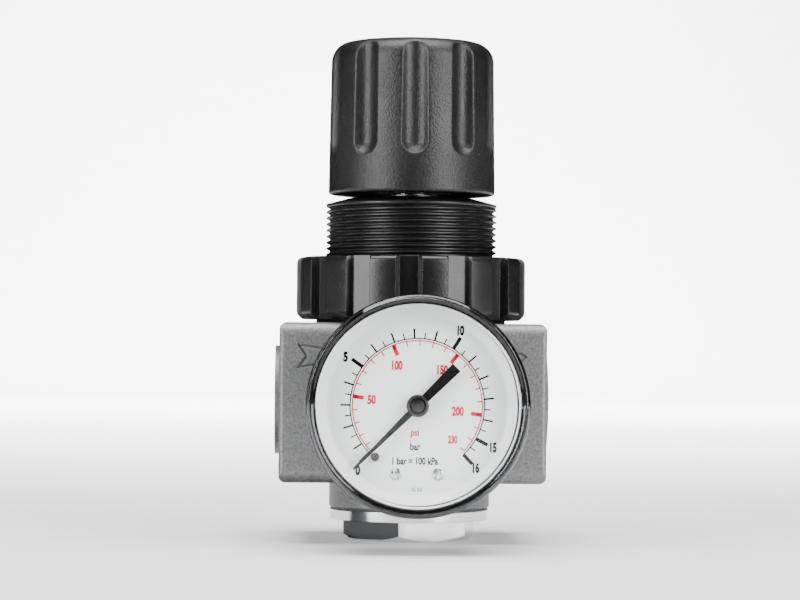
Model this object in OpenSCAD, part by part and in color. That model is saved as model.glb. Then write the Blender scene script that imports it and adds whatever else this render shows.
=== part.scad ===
// Compressed-air pressure reducing valve with a gauge, in millimetres.
// The origin is the centre of the hexagon plug's lower face. +Z runs up the valve's axis, the air
// flows along +X, and the gauge faces -Y. Threads are drawn as plain cylinders at their major radius.

/* [Valve body] */
// Width of the body block, from side to side
body_w = 64; // [56:1:84]
// Depth of the body block, from front to back
body_d = 46; // [46:1:60]
// Height of the body block
body_h = 38.4; // [36.8:0.2:50]
// Radius along the block's long top and bottom edges
long_edge_r = 3; // [1:0.5:4]
// Radius of the four corners seen from the front
side_corner_r = 1.8; // [0.5:0.1:3]
// Radius of the four upright edges
upright_edge_r = 1; // [1:0.5:4]
// Height of the port axis above the block's lower face
port_rise = 19.4; // [18.6:0.2:24]
// Diameter of the round pad at each port
port_pad_d = 26.6; // [25:0.2:30]
// How far each port pad stands out of the block
port_pad_out = 1.2; // [0.5:0.1:4]
// Major diameter of the pipe thread in each port
port_thread_d = 20.955; // [16.662:G3/8, 20.955:G1/2]
// Usable depth of each port
port_depth = 15; // [12:0.5:16]
// Diameter of the round neck below the block
neck_d = 39.5; // [37:0.5:44]
// Height of the round neck
neck_h = 7.2; // [5:0.2:12]
// Line width of the engraved flow arrow
arrow_line = 0.55; // [0.4:0.05:1]
// Depth of the engraved flow arrow
arrow_depth = 0.5; // [0.2:0.05:0.6]

/* [Bottom plug] */
// Width across the flats of the plug's hexagon
plug_hex_af = 30; // [27:1:34]
// Height of the hexagon
plug_hex_h = 5; // [4:0.5:12]
// Diameter of the plug's round flange
plug_flange_d = 39; // [36:0.2:44]
// Thickness of the flange
plug_flange_h = 2.4; // [1.5:0.1:4]
// Diameter of the plug's thread
plug_thread_d = 32; // [30:0.5:33]
// Turn of the hexagon about the upright axis
plug_hex_turn = 20; // [0:1:59]

/* [Bonnet and ring nut] */
// Major diameter of the bonnet's outer thread, which takes a panel
bonnet_thread_d = 42; // [40:1:45]
// Height of the threaded part above the body
bonnet_thread_h = 29.2; // [27:0.2:36]
// Bore of the bonnet round the main spring
bonnet_bore_d = 34; // [33:0.5:34.5]
// Diameter of the bonnet's neck below the knob
bonnet_neck_d = 31; // [26:1:34]
// Height of the cone between thread and neck
bonnet_cone_h = 1.5; // [1:0.1:3]
// Outside diameter of the castellated ring nut
ring_d = 56.4; // [52:0.2:64]
// Height of the ring nut
ring_h = 15.3; // [8:0.1:18]
// Number of ribs and recesses round the ring nut
ring_ribs = 14; // [8:1:20]
// Radial depth of each recess
ring_recess_depth = 2.2; // [1:0.1:3]
// Width of each recess
ring_recess_w = 5.8; // [4:0.1:7]
// Thickness of the washer under the ring nut
ring_washer_h = 0.8; // [0.5:0.1:1.5]
// Outside diameter of the washer under the ring nut
ring_washer_d = 46.6; // [45:0.2:52]

/* [Knob] */
// Diameter of the knob at its lower edge
knob_d = 41; // [38:0.5:41]
// How much the knob's radius shrinks towards the top
knob_draft = 0.5; // [0:0.1:1]
// Height of the knob
knob_h = 38.4; // [34:0.2:48]
// Radius of the knob's top shoulder
knob_shoulder_r = 4.8; // [3:0.1:6]
// Radius of the shallow dome on top
knob_dome_r = 120; // [80:5:300]
// Thickness of the knob's wall
knob_wall = 4.4; // [3.6:0.1:5]
// Number of grip flutes
knob_flutes = 10; // [6:1:12]
// Width of a flute at the knob's surface
flute_w = 6.9; // [5:0.1:8]
// Depth of a flute
flute_depth = 2.2; // [1.2:0.1:2.6]
// Height of the flutes' round lower ends above the knob's lower edge
flute_rise = 9.2; // [5:0.1:14]
// Gap between the bonnet's neck and the pushed-down knob
knob_gap = 0.9; // [0.5:0.1:2]
// How far the knob pulls up to unlock
knob_lift = 3.5; // [2:0.5:4]

/* [Adjusting screw and springs] */
// Diameter of the adjusting screw's left-hand thread
screw_d = 8; // [6:0.5:9]
// Thread pitch of the adjusting screw
screw_pitch = 1.5; // [1:0.25:2]
// Number of knob turns from no pressure to full pressure
screw_turns = 5; // [3:1:5]
// Diameter of the screw's journal in the bonnet
journal_d = 10; // [9:0.5:12]
// Width across the flats of the screw's hexagon in the knob
drive_af = 8; // [7:0.5:9]
// Height of the spring nut
spring_nut_h = 5.5; // [5:0.5:7]
// Outside diameter of the main spring
main_spring_d = 27; // [24:0.5:29]
// Wire diameter of the main spring
main_wire_d = 2.8; // [2:0.1:3.2]
// Number of turns in the main spring
main_turns = 4.5; // [3.5:0.5:4.5]
// Outside diameter of the poppet spring
poppet_spring_d = 12; // [10:0.5:13]
// Wire diameter of the poppet spring
poppet_wire_d = 0.9; // [0.7:0.1:1.1]
// Number of turns in the poppet spring
poppet_turns = 4; // [3:0.5:5]

/* [Valve inside] */
// Diameter of the bore in the body's top, which takes the bonnet's thread and the diaphragm
top_bore_d = 36; // [35.5:0.5:38]
// Depth of that bore
top_bore_depth = 7.5; // [7:0.1:9]
// Thickness of the rubber diaphragm
diaphragm_t = 1.2; // [0.8:0.1:1.6]
// Diameter of the chamber under the diaphragm
chamber_d = 29; // [26:0.5:30]
// Depth of the chamber under the diaphragm
chamber_depth = 3; // [2.8:0.1:3.4]
// Thickness of the wall that guides the valve stem
guide_wall = 2; // [1.5:0.1:3]
// Diameter of the outlet chamber
outlet_chamber_d = 24; // [22:0.5:26]
// Diameter of the inlet chamber
inlet_chamber_d = 26; // [24:0.5:28]
// Diameter of the opening that the poppet closes
orifice_d = 12; // [9:0.5:13]
// Height of the raised seat round the opening
seat_lip_h = 0.7; // [0.4:0.1:1.2]
// Diameter of the poppet's rubber seal
poppet_seal_d = 15.2; // [15:0.2:18]
// Diameter of the valve stem
stem_d = 3; // [2.5:0.1:4]
// Diameter of the poppet's lower guide
poppet_guide_d = 6; // [5:0.5:7]
// Travel of the diaphragm and poppet
valve_stroke = 1.5; // [1:0.1:1.8]

/* [Gauge] */
// Outside diameter of the gauge's lens
gauge_d = 51; // [48:1:60]
// Height of the lens front above the body's front face
gauge_out = 34.6; // [34.2:0.2:44]
// Radial thickness of the lens skirt
lens_skirt = 0.9; // [0.7:0.1:1.2]
// Thickness of the lens front
lens_t = 1.5; // [1:0.1:2]
// Length of the lens skirt along the gauge's axis
lens_skirt_h = 7; // [4:0.5:9]
// Wall of the gauge case
case_wall = 1.5; // [1.2:0.1:2.5]
// Thickness of the case's back
case_back = 2; // [1.5:0.1:3]
// Width across the flats of the gauge's square wrench block
socket_af = 14; // [12:0.5:17]
// Length of the wrench block between body and case
socket_len = 8; // [7:0.5:12]
// Major diameter of the gauge's pipe thread
gauge_thread_d = 9.728; // [9.728:G1/8]
// Depth of the gauge and plug ports
gauge_port_depth = 9; // [8:0.5:9]
// Depth from the lens front down to the dial's face
dial_depth = 8.2; // [7:0.1:9]
// Radius of the circle on which the dial's edge turns up
dial_flat_r = 20.8; // [19:0.1:21]
// Length of the pointer from its axis to its tip
pointer_tip_r = 21; // [15:0.1:21.4]
// Length of the pointer's tail
pointer_tail_r = 12.5; // [6:0.5:14]
// Angle from straight up to the pointer at zero, counter-clockwise
zero_angle = 135; // [130:1:140]
// Sweep of the pointer
pointer_sweep = 271; // [250:1:275]

/* [Gauge movement] */
// Module of the gear teeth
gear_module = 0.25; // [0.25:0.01:0.28]
// Number of teeth on the pinion
pinion_teeth = 12; // [10:1:14]
// Number of teeth that a whole sector wheel would have
sector_teeth = 72; // [66:1:76]
// Backlash on each tooth's flank
backlash = 0.03; // [0.02:0.01:0.05]
// Radius from the sector's axis to its tail pin
tail_r = 3.6; // [3:0.1:4]
// Radius of the middle of the pressure tube's curve
tube_r = 17; // [16:0.5:18]
// Width of the pressure tube along the gauge's axis
tube_w = 5; // [4:0.5:6]
// Thickness of the flattened pressure tube
tube_t = 1.8; // [1.4:0.1:2.2]

/* [Clearances] */
// Radial clearance of a running or threaded fit
run_gap = 0.05; // [0.02:0.01:0.09]
// Clearance between pieces that only pass each other
free_gap = 0.3; // [0.2:0.05:0.5]

/* [Hidden] */
$fn = 96;
eps = 0.01; // cuts run this far past the face they leave

// Heights along the valve's axis
plug_flange_z = plug_hex_h;
neck_z = plug_flange_z + plug_flange_h;
block_z = neck_z + neck_h;
block_top = block_z + body_h;
port_z = block_z + port_rise;
ledge_z = block_top - top_bore_depth;
chamber_z = ledge_z - chamber_depth;
outlet_top = chamber_z - guide_wall;
seat_wall_top = port_z - 2.5; // the outlet chamber's floor, below the port axis
seat_wall_z = port_z - 5; // the inlet chamber's ceiling
seat_z = seat_wall_z - seat_lip_h;

// Bonnet, ring nut and knob
washer_z = block_top;
ring_z = washer_z + ring_washer_h;
thread_top = block_top + bonnet_thread_h;
neck_top = thread_top + bonnet_cone_h;
bonnet_roof = 4.7; // thickness of the bonnet's top wall
roof_z = neck_top - bonnet_roof;
knob_z = neck_top + knob_gap;
knob_top = knob_z + knob_h;
knob_top_r = knob_d / 2 - knob_draft;

// Stack on the diaphragm
plate_z = ledge_z + diaphragm_t;
plate_t = 1;
spring_z = plate_z + plate_t;
hub_r = 5;
hub_t = 1.2;
hub_neck_r = 2.9;
spring_pilot_r = main_spring_d / 2 - main_wire_d - free_gap; // centres the main spring's ends
slip_ring_h = 0.7;
spigot_z = plate_z + slip_ring_h; // lower end of the bonnet's spigot
diaphragm_r = top_bore_d / 2 - 0.2;

// Stack under the bonnet's roof
thrust_t = 0.8;
collar_t = 1.8;
collar_r = journal_d / 2 + 2.5;
collar_z = roof_z - thrust_t - collar_t;
spring_nut_z = collar_z - 0.4 - spring_nut_h;
spring_nut_travel = screw_pitch * screw_turns;
screw_end_z = spring_nut_z - spring_nut_travel - 2;
key_w = 3; // ribs in the bonnet that stop the spring nut turning
key_h = 2;
clip_t = 0.6;
clip_z = neck_top + 0.1;
drive_z = clip_z + clip_t + 0.4;
drive_top = knob_top - 12;
boss_r = 8; // the knob's inner boss round the screw's hexagon
detent_z = drive_top - 4;
detent_wire = 1;

// Poppet
seat_gap = 0.05; // rubber to seat at rest
seal_t = 1.8;
seal_z = seat_z - seat_gap - seal_t;
poppet_r = poppet_seal_d / 2 + 0.6;
poppet_floor = 2.2;
poppet_z = seal_z - poppet_floor;
plug_bore_r = poppet_guide_d / 2 + run_gap;
plug_thread_h = 7;
plug_seat_z = neck_z + plug_thread_h; // the plug's upper face
stem_top = ledge_z - hub_t - 0.1;
stem_z = poppet_z - 4; // lower end of the stem, inside the poppet's guide
guide_bottom = plug_hex_h + 2.5;

// Gauge, measured along its own axis out from the body's front face
gauge_seal_t = 1;
case_z = socket_len;
lens_in = gauge_out - lens_t; // inner face of the lens
case_r = gauge_d / 2 - lens_skirt - run_gap;
case_inner_r = case_r - case_wall;
case_rim_z = lens_in - run_gap;
dial_z = gauge_out - dial_depth; // printed face
dial_t = 0.4;
dial_rise = 1.4;
dial_r = case_inner_r - 0.1;
ledge_w = 1.2; // width of the step in the case that carries the dial
pointer_z = dial_z + 1.6;
pointer_t = 0.4;
dial_hole_r = 1.6; // the hole that the pointer's arbor passes
port_seal_r = 6.6; // outside radius of the washers at both gauge ports

// Movement
block_h = 6; // socket block inside the case
socket_floor = case_z + case_back;
back_plate_z = socket_floor + block_h;
plate_h = 0.9;
pillar_h = 4.6;
front_plate_z = back_plate_z + plate_h + pillar_h;
gear_z = back_plate_z + plate_h + 1.1;
gear_t = 1;
pinion_t = 1.4;
pinion_pitch_r = gear_module * pinion_teeth / 2;
sector_pitch_r = gear_module * sector_teeth / 2;
sector_y = -(pinion_pitch_r + sector_pitch_r);
sector_sweep = pointer_sweep * pinion_teeth / sector_teeth;
sector_half = sector_sweep / 2 + 9;
arbor_r = 0.6;
tail_angle = -90 - sector_sweep / 2;
tail_x = tail_r * cos(tail_angle);
tail_y = sector_y + tail_r * sin(tail_angle);
tube_z = socket_floor + 0.6;
tube_root = 245; // direction of the tube's fixed end, degrees from +X
tube_end = -36; // direction of the tube's free end
pin_r = 0.5;
open_pivot_gap = 0.35; // the link's hole runs this loose on the tail pin
link_t = 0.6;
link_z = gear_z + gear_t + 0.25;
tip_x = tube_r * cos(tube_end) - 2;
screw_spread = 5.2; // movement pillars and screws, left and right of the axis
movement_hole_r = 0.75;
movement_screw_r = 0.72;
movement_screw_depth = 3.6; // how far they reach into the socket block
case_screw_x = socket_af / 2 + 2;
case_screw_r = 1;
dial_screw_x = 4.8;
dial_screw_y = -15.7;

// ---- Shared shapes ----

// A washer or tube standing on z = 0
module ring(outer_r, inner_r, height) {
    difference() {
        cylinder(r = outer_r, h = height);
        translate([0, 0, -eps]) cylinder(r = inner_r, h = height + 2 * eps);
    }
}

// A rectangle with round corners, centred
module round_rect(width, height, corner) {
    square([width, height - 2 * corner], center = true);
    square([width - 2 * corner, height], center = true);
    for (sx = [-1, 1], sy = [-1, 1])
        translate([sx * (width / 2 - corner), sy * (height / 2 - corner)]) circle(corner);
}

// A flat bar with round ends from point p to point q; the ends are a touch narrower than the bar
module bar(p, q, width, height, shy = 0.02) {
    run = q - p;
    translate([p.x, p.y, 0]) rotate([0, 0, atan2(run.y, run.x)])
        translate([0, -width / 2, 0]) cube([norm(run), width, height]);
    for (end = [p, q]) translate([end.x, end.y, 0]) cylinder(d = width - shy, h = height);
}

// Out of the body's front face: local z points at the viewer, local y up
module on_gauge() {
    translate([0, -body_d / 2, port_z]) rotate([90, 0, 0]) children();
}

// A round wire wound from z = 0 up to the height; its end turns lie flat against the ends
module coil(outer_d, wire_d, turns, height, sides = 8) {
    steps = ceil(turns * 20);
    coil_r = (outer_d - wire_d) / 2;
    rise = height - wire_d;
    points = [for (i = [0:steps], k = [0:sides - 1])
        let (a = 360 * turns * i / steps, b = 360 * k / sides, r = coil_r + wire_d / 2 * cos(b))
        [r * cos(a), r * sin(a), wire_d / 2 + rise * i / steps + wire_d / 2 * sin(b)]];
    walls = [for (i = [0:steps - 1], k = [0:sides - 1])
        let (n = (k + 1) % sides, here = i * sides, next = here + sides)
        [here + k, next + k, next + n, here + n]];
    start_cap = [for (k = [0:sides - 1]) k];
    end_cap = [for (k = [sides - 1:-1:0]) steps * sides + k];
    polyhedron(points, concat([start_cap], walls, [end_cap]), convexity = 10);
}

// ---- Valve body and what closes it ----

// Outline of the block: three rounded prisms crossed
module body_block() {
    translate([0, 0, block_z + body_h / 2]) intersection() {
        rotate([90, 0, 0]) linear_extrude(body_d, center = true)
            round_rect(body_w, body_h, side_corner_r);
        rotate([90, 0, 90]) linear_extrude(body_w, center = true)
            round_rect(body_d, body_h, long_edge_r);
        linear_extrude(body_h, center = true) round_rect(body_w, body_d, upright_edge_r);
    }
}

// Grooves of the flow arrow on the front face, in local x and y with the port axis at y = 0
module arrow_grooves() {
    tail_x0 = -(body_w / 2 - 4.6);
    tip_x0 = body_w / 2 - 5.2;
    tail_half = 2.65;
    shaft_half = 1.55;
    tip_half = 0.8;
    shaft_x = tail_x0 + 7.4;
    notch = 2;
    for (side = [-1, 1]) {
        bar([tail_x0, side * tail_half], [shaft_x, side * shaft_half], arrow_line, arrow_depth + eps);
        bar([shaft_x, side * shaft_half], [tip_x0 - 1, side * tip_half], arrow_line, arrow_depth + eps);
        bar([tail_x0, side * tail_half], [tail_x0 + notch, 0], arrow_line, arrow_depth + eps);
        bar([tip_x0 - 1, side * tip_half], [tip_x0, 0], arrow_line, arrow_depth + eps);
    }
}

module valve_body() {
    neck_round = 0.8;
    slot_w = 12;
    arrow_rise = 11; // arrow above the port axis
    feed_x = 7; // hole that feeds outlet pressure to the diaphragm
    feed_d = 2;
    gauge_feed_d = 3.5;
    port_start = body_w / 2 + port_pad_out - port_depth;
    inlet_slot_z = port_z - port_thread_d / 2 + 1.9;
    color([0.62, 0.63, 0.65]) difference() {
        union() {
            body_block();
            translate([0, 0, neck_z]) cylinder(d1 = neck_d - 2 * neck_round, d2 = neck_d, h = neck_round);
            translate([0, 0, neck_z + neck_round])
                cylinder(d = neck_d, h = neck_h - neck_round + long_edge_r);
            translate([0, 0, port_z]) rotate([0, 90, 0])
                cylinder(d = port_pad_d, h = body_w + 2 * port_pad_out, center = true);
        }
        // Top bore, diaphragm chamber, outlet chamber and opening
        translate([0, 0, ledge_z]) cylinder(d = top_bore_d, h = top_bore_depth + eps);
        translate([0, 0, chamber_z]) cylinder(d = chamber_d, h = chamber_depth + eps);
        translate([0, 0, seat_wall_top]) cylinder(d = outlet_chamber_d, h = outlet_top - seat_wall_top);
        translate([0, 0, seat_z - eps]) cylinder(d = orifice_d, h = seat_wall_top - seat_z + 1);
        // Inlet chamber with the raised seat left standing, and the thread of the bottom plug
        translate([0, 0, plug_seat_z - eps])
            cylinder(d = inlet_chamber_d, h = seat_z - plug_seat_z + eps);
        translate([0, 0, seat_z - eps])
            ring(inlet_chamber_d / 2, orifice_d / 2 + 0.8, seat_lip_h + eps);
        translate([0, 0, neck_z - eps])
            cylinder(d = plug_thread_d + 2 * run_gap, h = plug_thread_h + eps);
        // Stem guide and the hole that feeds outlet pressure to the diaphragm
        translate([0, 0, outlet_top - eps]) cylinder(d = stem_d + 2 * run_gap, h = guide_wall + 2 * eps);
        translate([feed_x, 0, outlet_top - eps]) cylinder(d = feed_d, h = guide_wall + 2 * eps);
        // Ports and the slots from their ends into the chambers
        for (side = [-1, 1]) translate([side * port_start, 0, port_z]) rotate([0, side * 90, 0])
            cylinder(d = port_thread_d, h = port_depth + eps);
        translate([-port_start - eps, -slot_w / 2, inlet_slot_z])
            cube([port_start, slot_w, seat_wall_z - inlet_slot_z]);
        translate([0, -slot_w / 2, seat_wall_top])
            cube([port_start + eps, slot_w, outlet_top - seat_wall_top - 1]);
        // Gauge ports at the front and the back
        for (side = [-1, 1]) {
            translate([0, side * (body_d / 2 - gauge_port_depth), port_z]) rotate([-side * 90, 0, 0])
                cylinder(d = gauge_thread_d + 2 * run_gap, h = gauge_port_depth + eps);
            translate([0, 0, port_z]) rotate([-side * 90, 0, 0])
                cylinder(d = gauge_feed_d, h = body_d / 2 - 2);
        }
        translate([0, -body_d / 2 - eps, port_z + arrow_rise]) rotate([-90, 0, 0]) arrow_grooves();
    }
}

// Hexagon plug that closes the inlet chamber and guides the poppet
module bottom_plug() {
    corner_r = plug_hex_af / 2 / cos(30);
    chamfer = corner_r - plug_hex_af / 2 + 0.3;
    color([0.85, 0.85, 0.87]) difference() {
        union() {
            rotate([0, 0, plug_hex_turn]) intersection() {
                cylinder(r = corner_r, h = plug_hex_h, $fn = 6);
                union() {
                    cylinder(r1 = corner_r - chamfer, r2 = corner_r, h = chamfer * tan(30));
                    translate([0, 0, chamfer * tan(30)]) cylinder(r = corner_r, h = plug_hex_h);
                }
            }
            translate([0, 0, plug_flange_z]) cylinder(d = plug_flange_d, h = plug_flange_h);
            translate([0, 0, neck_z - eps]) cylinder(d = plug_thread_d, h = plug_thread_h + eps);
        }
        translate([0, 0, guide_bottom]) cylinder(r = plug_bore_r, h = plug_seat_z);
        // Pocket for the poppet spring and groove for the O-ring
        translate([0, 0, plug_seat_z - 2]) ring(poppet_spring_d / 2 + 0.6, plug_bore_r + 1, 3);
        translate([0, 0, neck_z + 3.2]) ring(plug_thread_d / 2 + 1, plug_thread_d / 2 - 1.8, 2.2);
    }
}

module bottom_plug_o_ring() {
    wire_r = 0.85;
    color([0.06, 0.06, 0.06]) translate([0, 0, neck_z + 4.3]) rotate_extrude()
        translate([plug_thread_d / 2 - wire_r, 0]) circle(wire_r, $fn = 32);
}

// ---- Poppet ----

// Brass valve disc with its lower guide and a recess for the seal
module poppet() {
    lip_h = 1;
    color([0.78, 0.62, 0.32]) difference() {
        union() {
            translate([0, 0, poppet_z]) cylinder(r = poppet_r, h = poppet_floor + lip_h);
            translate([0, 0, guide_bottom + valve_stroke + 1])
                cylinder(d = poppet_guide_d, h = poppet_z - guide_bottom - valve_stroke);
        }
        translate([0, 0, seal_z]) cylinder(d = poppet_seal_d, h = seal_t);
        translate([0, 0, stem_z]) cylinder(d = stem_d, h = poppet_floor + 8);
    }
}

module poppet_seal() {
    color([0.12, 0.12, 0.13]) translate([0, 0, seal_z]) ring(poppet_seal_d / 2, stem_d / 2, seal_t);
}

// Steel pin that the diaphragm pushes down
module poppet_stem() {
    tip_h = 0.6;
    color([0.8, 0.8, 0.82]) {
        translate([0, 0, stem_z]) cylinder(d = stem_d, h = stem_top - tip_h - stem_z);
        translate([0, 0, stem_top - tip_h]) cylinder(d1 = stem_d, d2 = stem_d - 1, h = tip_h);
    }
}

module poppet_spring() {
    color([0.7, 0.71, 0.73]) translate([0, 0, plug_seat_z - 2])
        coil(poppet_spring_d, poppet_wire_d, poppet_turns, poppet_z - plug_seat_z + 2);
}

// ---- Diaphragm ----

// Brass hub under the diaphragm; its hole is closed by the stem's tip
module relief_hub() {
    rivet_h = 0.8;
    color([0.78, 0.62, 0.32]) difference() {
        union() {
            translate([0, 0, ledge_z - hub_t]) cylinder(r = hub_r, h = hub_t);
            translate([0, 0, ledge_z - eps]) cylinder(r = hub_neck_r, h = spring_z - ledge_z + rivet_h);
            translate([0, 0, spring_z]) cylinder(r1 = hub_neck_r + 0.7, r2 = hub_neck_r, h = rivet_h);
        }
        translate([0, 0, ledge_z - hub_t - eps]) cylinder(r = 0.9, h = spring_z - ledge_z + 3);
    }
}

module diaphragm() {
    color([0.1, 0.1, 0.1]) translate([0, 0, ledge_z]) ring(diaphragm_r, hub_neck_r, diaphragm_t);
}

// Steel plate that spreads the spring's load, with a raised pilot inside the spring
module diaphragm_plate() {
    plate_r = chamber_d / 2 - 0.6;
    color([0.72, 0.73, 0.75]) translate([0, 0, plate_z]) difference() {
        union() {
            cylinder(r = plate_r, h = plate_t);
            cylinder(r1 = spring_pilot_r, r2 = spring_pilot_r - 0.8, h = plate_t + 1.8);
        }
        translate([0, 0, -eps]) cylinder(r = hub_neck_r, h = plate_t + 2 * eps);
        translate([0, 0, plate_t]) cylinder(r = spring_pilot_r - 2.2, h = 3);
    }
}

module slip_ring() {
    color([0.9, 0.9, 0.86]) translate([0, 0, plate_z])
        ring(diaphragm_r, chamber_d / 2 + 0.5, slip_ring_h);
}

// ---- Bonnet, ring nut and knob ----

module bonnet() {
    spigot_r = top_bore_d / 2 - run_gap;
    bore_r = bonnet_bore_d / 2;
    mouth_r = chamber_d / 2 + 0.6;
    color([0.09, 0.09, 0.1]) difference() {
        union() {
            translate([0, 0, spigot_z]) cylinder(r = spigot_r, h = block_top - spigot_z + eps);
            translate([0, 0, block_top]) cylinder(d = bonnet_thread_d, h = bonnet_thread_h);
            translate([0, 0, thread_top])
                cylinder(d1 = bonnet_thread_d, d2 = bonnet_neck_d, h = bonnet_cone_h);
        }
        translate([0, 0, spigot_z - eps]) cylinder(r = mouth_r, h = block_top - spigot_z);
        difference() {
            translate([0, 0, block_top - eps]) cylinder(r = bore_r, h = roof_z - block_top + eps);
            for (side = [-1, 1]) translate([side * bore_r - key_h, -key_w / 2, block_top + 4])
                cube([2 * key_h, key_w, roof_z - block_top]);
        }
        translate([0, 0, roof_z - eps]) cylinder(r = journal_d / 2 + run_gap, h = bonnet_roof + 1);
    }
}

module ring_washer() {
    color([0.14, 0.14, 0.15]) translate([0, 0, washer_z])
        ring(ring_washer_d / 2, bonnet_thread_d / 2 + free_gap, ring_washer_h);
}

// Castellated nut that clamps a panel round the bonnet
module panel_ring_nut() {
    top_round = 1.5;
    lower_chamfer = 1.4;
    outer_r = ring_d / 2;
    color([0.07, 0.07, 0.08]) translate([0, 0, ring_z]) difference() {
        rotate_extrude() {
            translate([outer_r - top_round, ring_h - top_round]) circle(top_round);
            polygon([[0, 0], [outer_r - lower_chamfer, 0], [outer_r, lower_chamfer],
                [outer_r, ring_h - top_round], [0, ring_h - top_round]]);
            translate([0, ring_h - top_round - eps]) square([outer_r - top_round, top_round + eps]);
        }
        translate([0, 0, -eps]) cylinder(r = bonnet_thread_d / 2 + run_gap, h = ring_h + 2 * eps);
        for (i = [0:ring_ribs - 1]) rotate([0, 0, -90 - 3 + i * 360 / ring_ribs])
            translate([outer_r - ring_recess_depth, -ring_recess_w / 2, -eps])
                cube([ring_recess_depth + 1, ring_recess_w, ring_h + 2 * eps]);
    }
}

// Outline of the knob from its axis to its skin
module knob_profile() {
    shoulder_x = knob_top_r - knob_shoulder_r;
    shoulder_z = knob_top - shoulder_x * shoulder_x / 2 / knob_dome_r - knob_shoulder_r;
    edge = 0.7;
    polygon([[0, knob_z], [knob_d / 2 - edge, knob_z], [knob_d / 2, knob_z + edge],
        [knob_top_r, shoulder_z], [0, shoulder_z]]);
    translate([shoulder_x, shoulder_z]) circle(knob_shoulder_r);
    translate([0, shoulder_z - eps]) square([shoulder_x, knob_shoulder_r + eps]);
    intersection() {
        translate([0, knob_top - knob_dome_r]) circle(knob_dome_r);
        translate([0, shoulder_z]) square([shoulder_x, knob_top - shoulder_z]);
    }
}

module knob() {
    flute_r = (flute_w * flute_w / 4 + flute_depth * flute_depth) / 2 / flute_depth;
    flute_x = knob_d / 2 - flute_depth + flute_r;
    flute_z = knob_z + flute_rise + flute_w / 2;
    cavity_r = knob_d / 2 - knob_wall;
    roof = 5;
    drive_r = (drive_af / 2 + run_gap) / cos(30);
    color([0.1, 0.1, 0.11]) difference() {
        rotate_extrude() knob_profile();
        difference() {
            translate([0, 0, knob_z - eps]) cylinder(r = cavity_r, h = knob_h - roof);
            translate([0, 0, drive_z + 2]) cylinder(r = boss_r, h = knob_h);
        }
        for (i = [0:knob_flutes - 1]) rotate([0, 0, -90 + i * 360 / knob_flutes])
            translate([flute_x, 0, flute_z]) {
                cylinder(r = flute_r, h = knob_h);
                sphere(flute_r);
            }
        // Hexagon socket for the screw, and the groove of the detent ring
        translate([0, 0, drive_z]) cylinder(r = drive_r, h = drive_top + free_gap - drive_z, $fn = 6);
        translate([0, 0, detent_z - detent_wire - knob_lift])
            cylinder(r = drive_r + 0.9, h = 2 * detent_wire + knob_lift);
    }
}

// ---- Adjusting screw ----

// Non-rising screw: left-hand thread, collar, journal and a hexagon that drives it
module adjusting_screw() {
    drive_r = drive_af / 2 / cos(30);
    journal_z = collar_z + collar_t - eps;
    groove_r = journal_d / 2 - 1;
    color([0.75, 0.76, 0.78]) difference() {
        union() {
            translate([0, 0, screw_end_z]) cylinder(d = screw_d, h = collar_z - screw_end_z + eps);
            translate([0, 0, collar_z]) cylinder(r = collar_r, h = collar_t);
            translate([0, 0, journal_z]) cylinder(d = journal_d, h = drive_z - journal_z);
            translate([0, 0, drive_z - eps]) cylinder(r = drive_r, h = drive_top - drive_z, $fn = 6);
        }
        translate([0, 0, clip_z]) ring(journal_d, groove_r, clip_t);
        translate([0, 0, detent_z - detent_wire / 2]) ring(journal_d, drive_af / 2 - 0.6, detent_wire);
    }
}

module thrust_washer() {
    color([0.86, 0.84, 0.74]) translate([0, 0, roof_z - thrust_t])
        ring(collar_r, journal_d / 2 + run_gap, thrust_t);
}

// E-clip that holds the screw up in the bonnet
module screw_clip() {
    clip_r = journal_d / 2 + 2.2;
    color([0.5, 0.5, 0.52]) translate([0, 0, clip_z]) difference() {
        ring(clip_r, journal_d / 2 - 1, clip_t);
        translate([0, -2.6, -eps]) cube([clip_r + 1, 5.2, clip_t + 2 * eps]);
    }
}

// Square-shouldered nut that the screw drives down onto the main spring
module spring_nut() {
    nut_r = bonnet_bore_d / 2 - free_gap;
    slot_w = key_w + 2 * free_gap;
    slot_depth = key_h + free_gap;
    pilot_h = 2;
    color([0.78, 0.62, 0.32]) translate([0, 0, spring_nut_z]) difference() {
        union() {
            cylinder(r = nut_r, h = spring_nut_h);
            translate([0, 0, -pilot_h])
                cylinder(r1 = spring_pilot_r - 0.6, r2 = spring_pilot_r, h = pilot_h);
        }
        translate([0, 0, -pilot_h - eps])
            cylinder(r = screw_d / 2 + run_gap, h = spring_nut_h + pilot_h + 2 * eps);
        for (side = [-1, 1]) translate([side * nut_r - slot_depth, -slot_w / 2, -eps])
            cube([2 * slot_depth, slot_w, spring_nut_h + 2 * eps]);
    }
}

module main_spring() {
    color([0.35, 0.36, 0.38]) translate([0, 0, spring_z])
        coil(main_spring_d, main_wire_d, main_turns, spring_nut_z - spring_z, 10);
}

// Spring wire ring on the screw that holds the knob down or up
module knob_detent_ring() {
    color([0.7, 0.71, 0.73]) translate([0, 0, detent_z]) difference() {
        rotate_extrude() translate([drive_af / 2 - 0.6 + detent_wire / 2, 0])
            circle(detent_wire / 2, $fn = 32);
        translate([0, -0.8, -detent_wire]) cube([journal_d, 1.6, 2 * detent_wire]);
    }
}

// ---- Rear port ----

module rear_port_plug() {
    head_r = 7;
    head_h = 2.6;
    key_r = 2.5 / cos(30);
    thread_r = gauge_thread_d / 2;
    color([0.85, 0.85, 0.87]) translate([0, body_d / 2, port_z]) rotate([-90, 0, 0]) difference() {
        union() {
            translate([0, 0, gauge_seal_t]) cylinder(r = head_r, h = head_h);
            translate([0, 0, -gauge_port_depth + 1])
                cylinder(r = thread_r, h = gauge_port_depth + gauge_seal_t);
        }
        translate([0, 0, gauge_seal_t - 1.5]) cylinder(r = key_r, h = head_h + 2, $fn = 6);
    }
}

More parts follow.
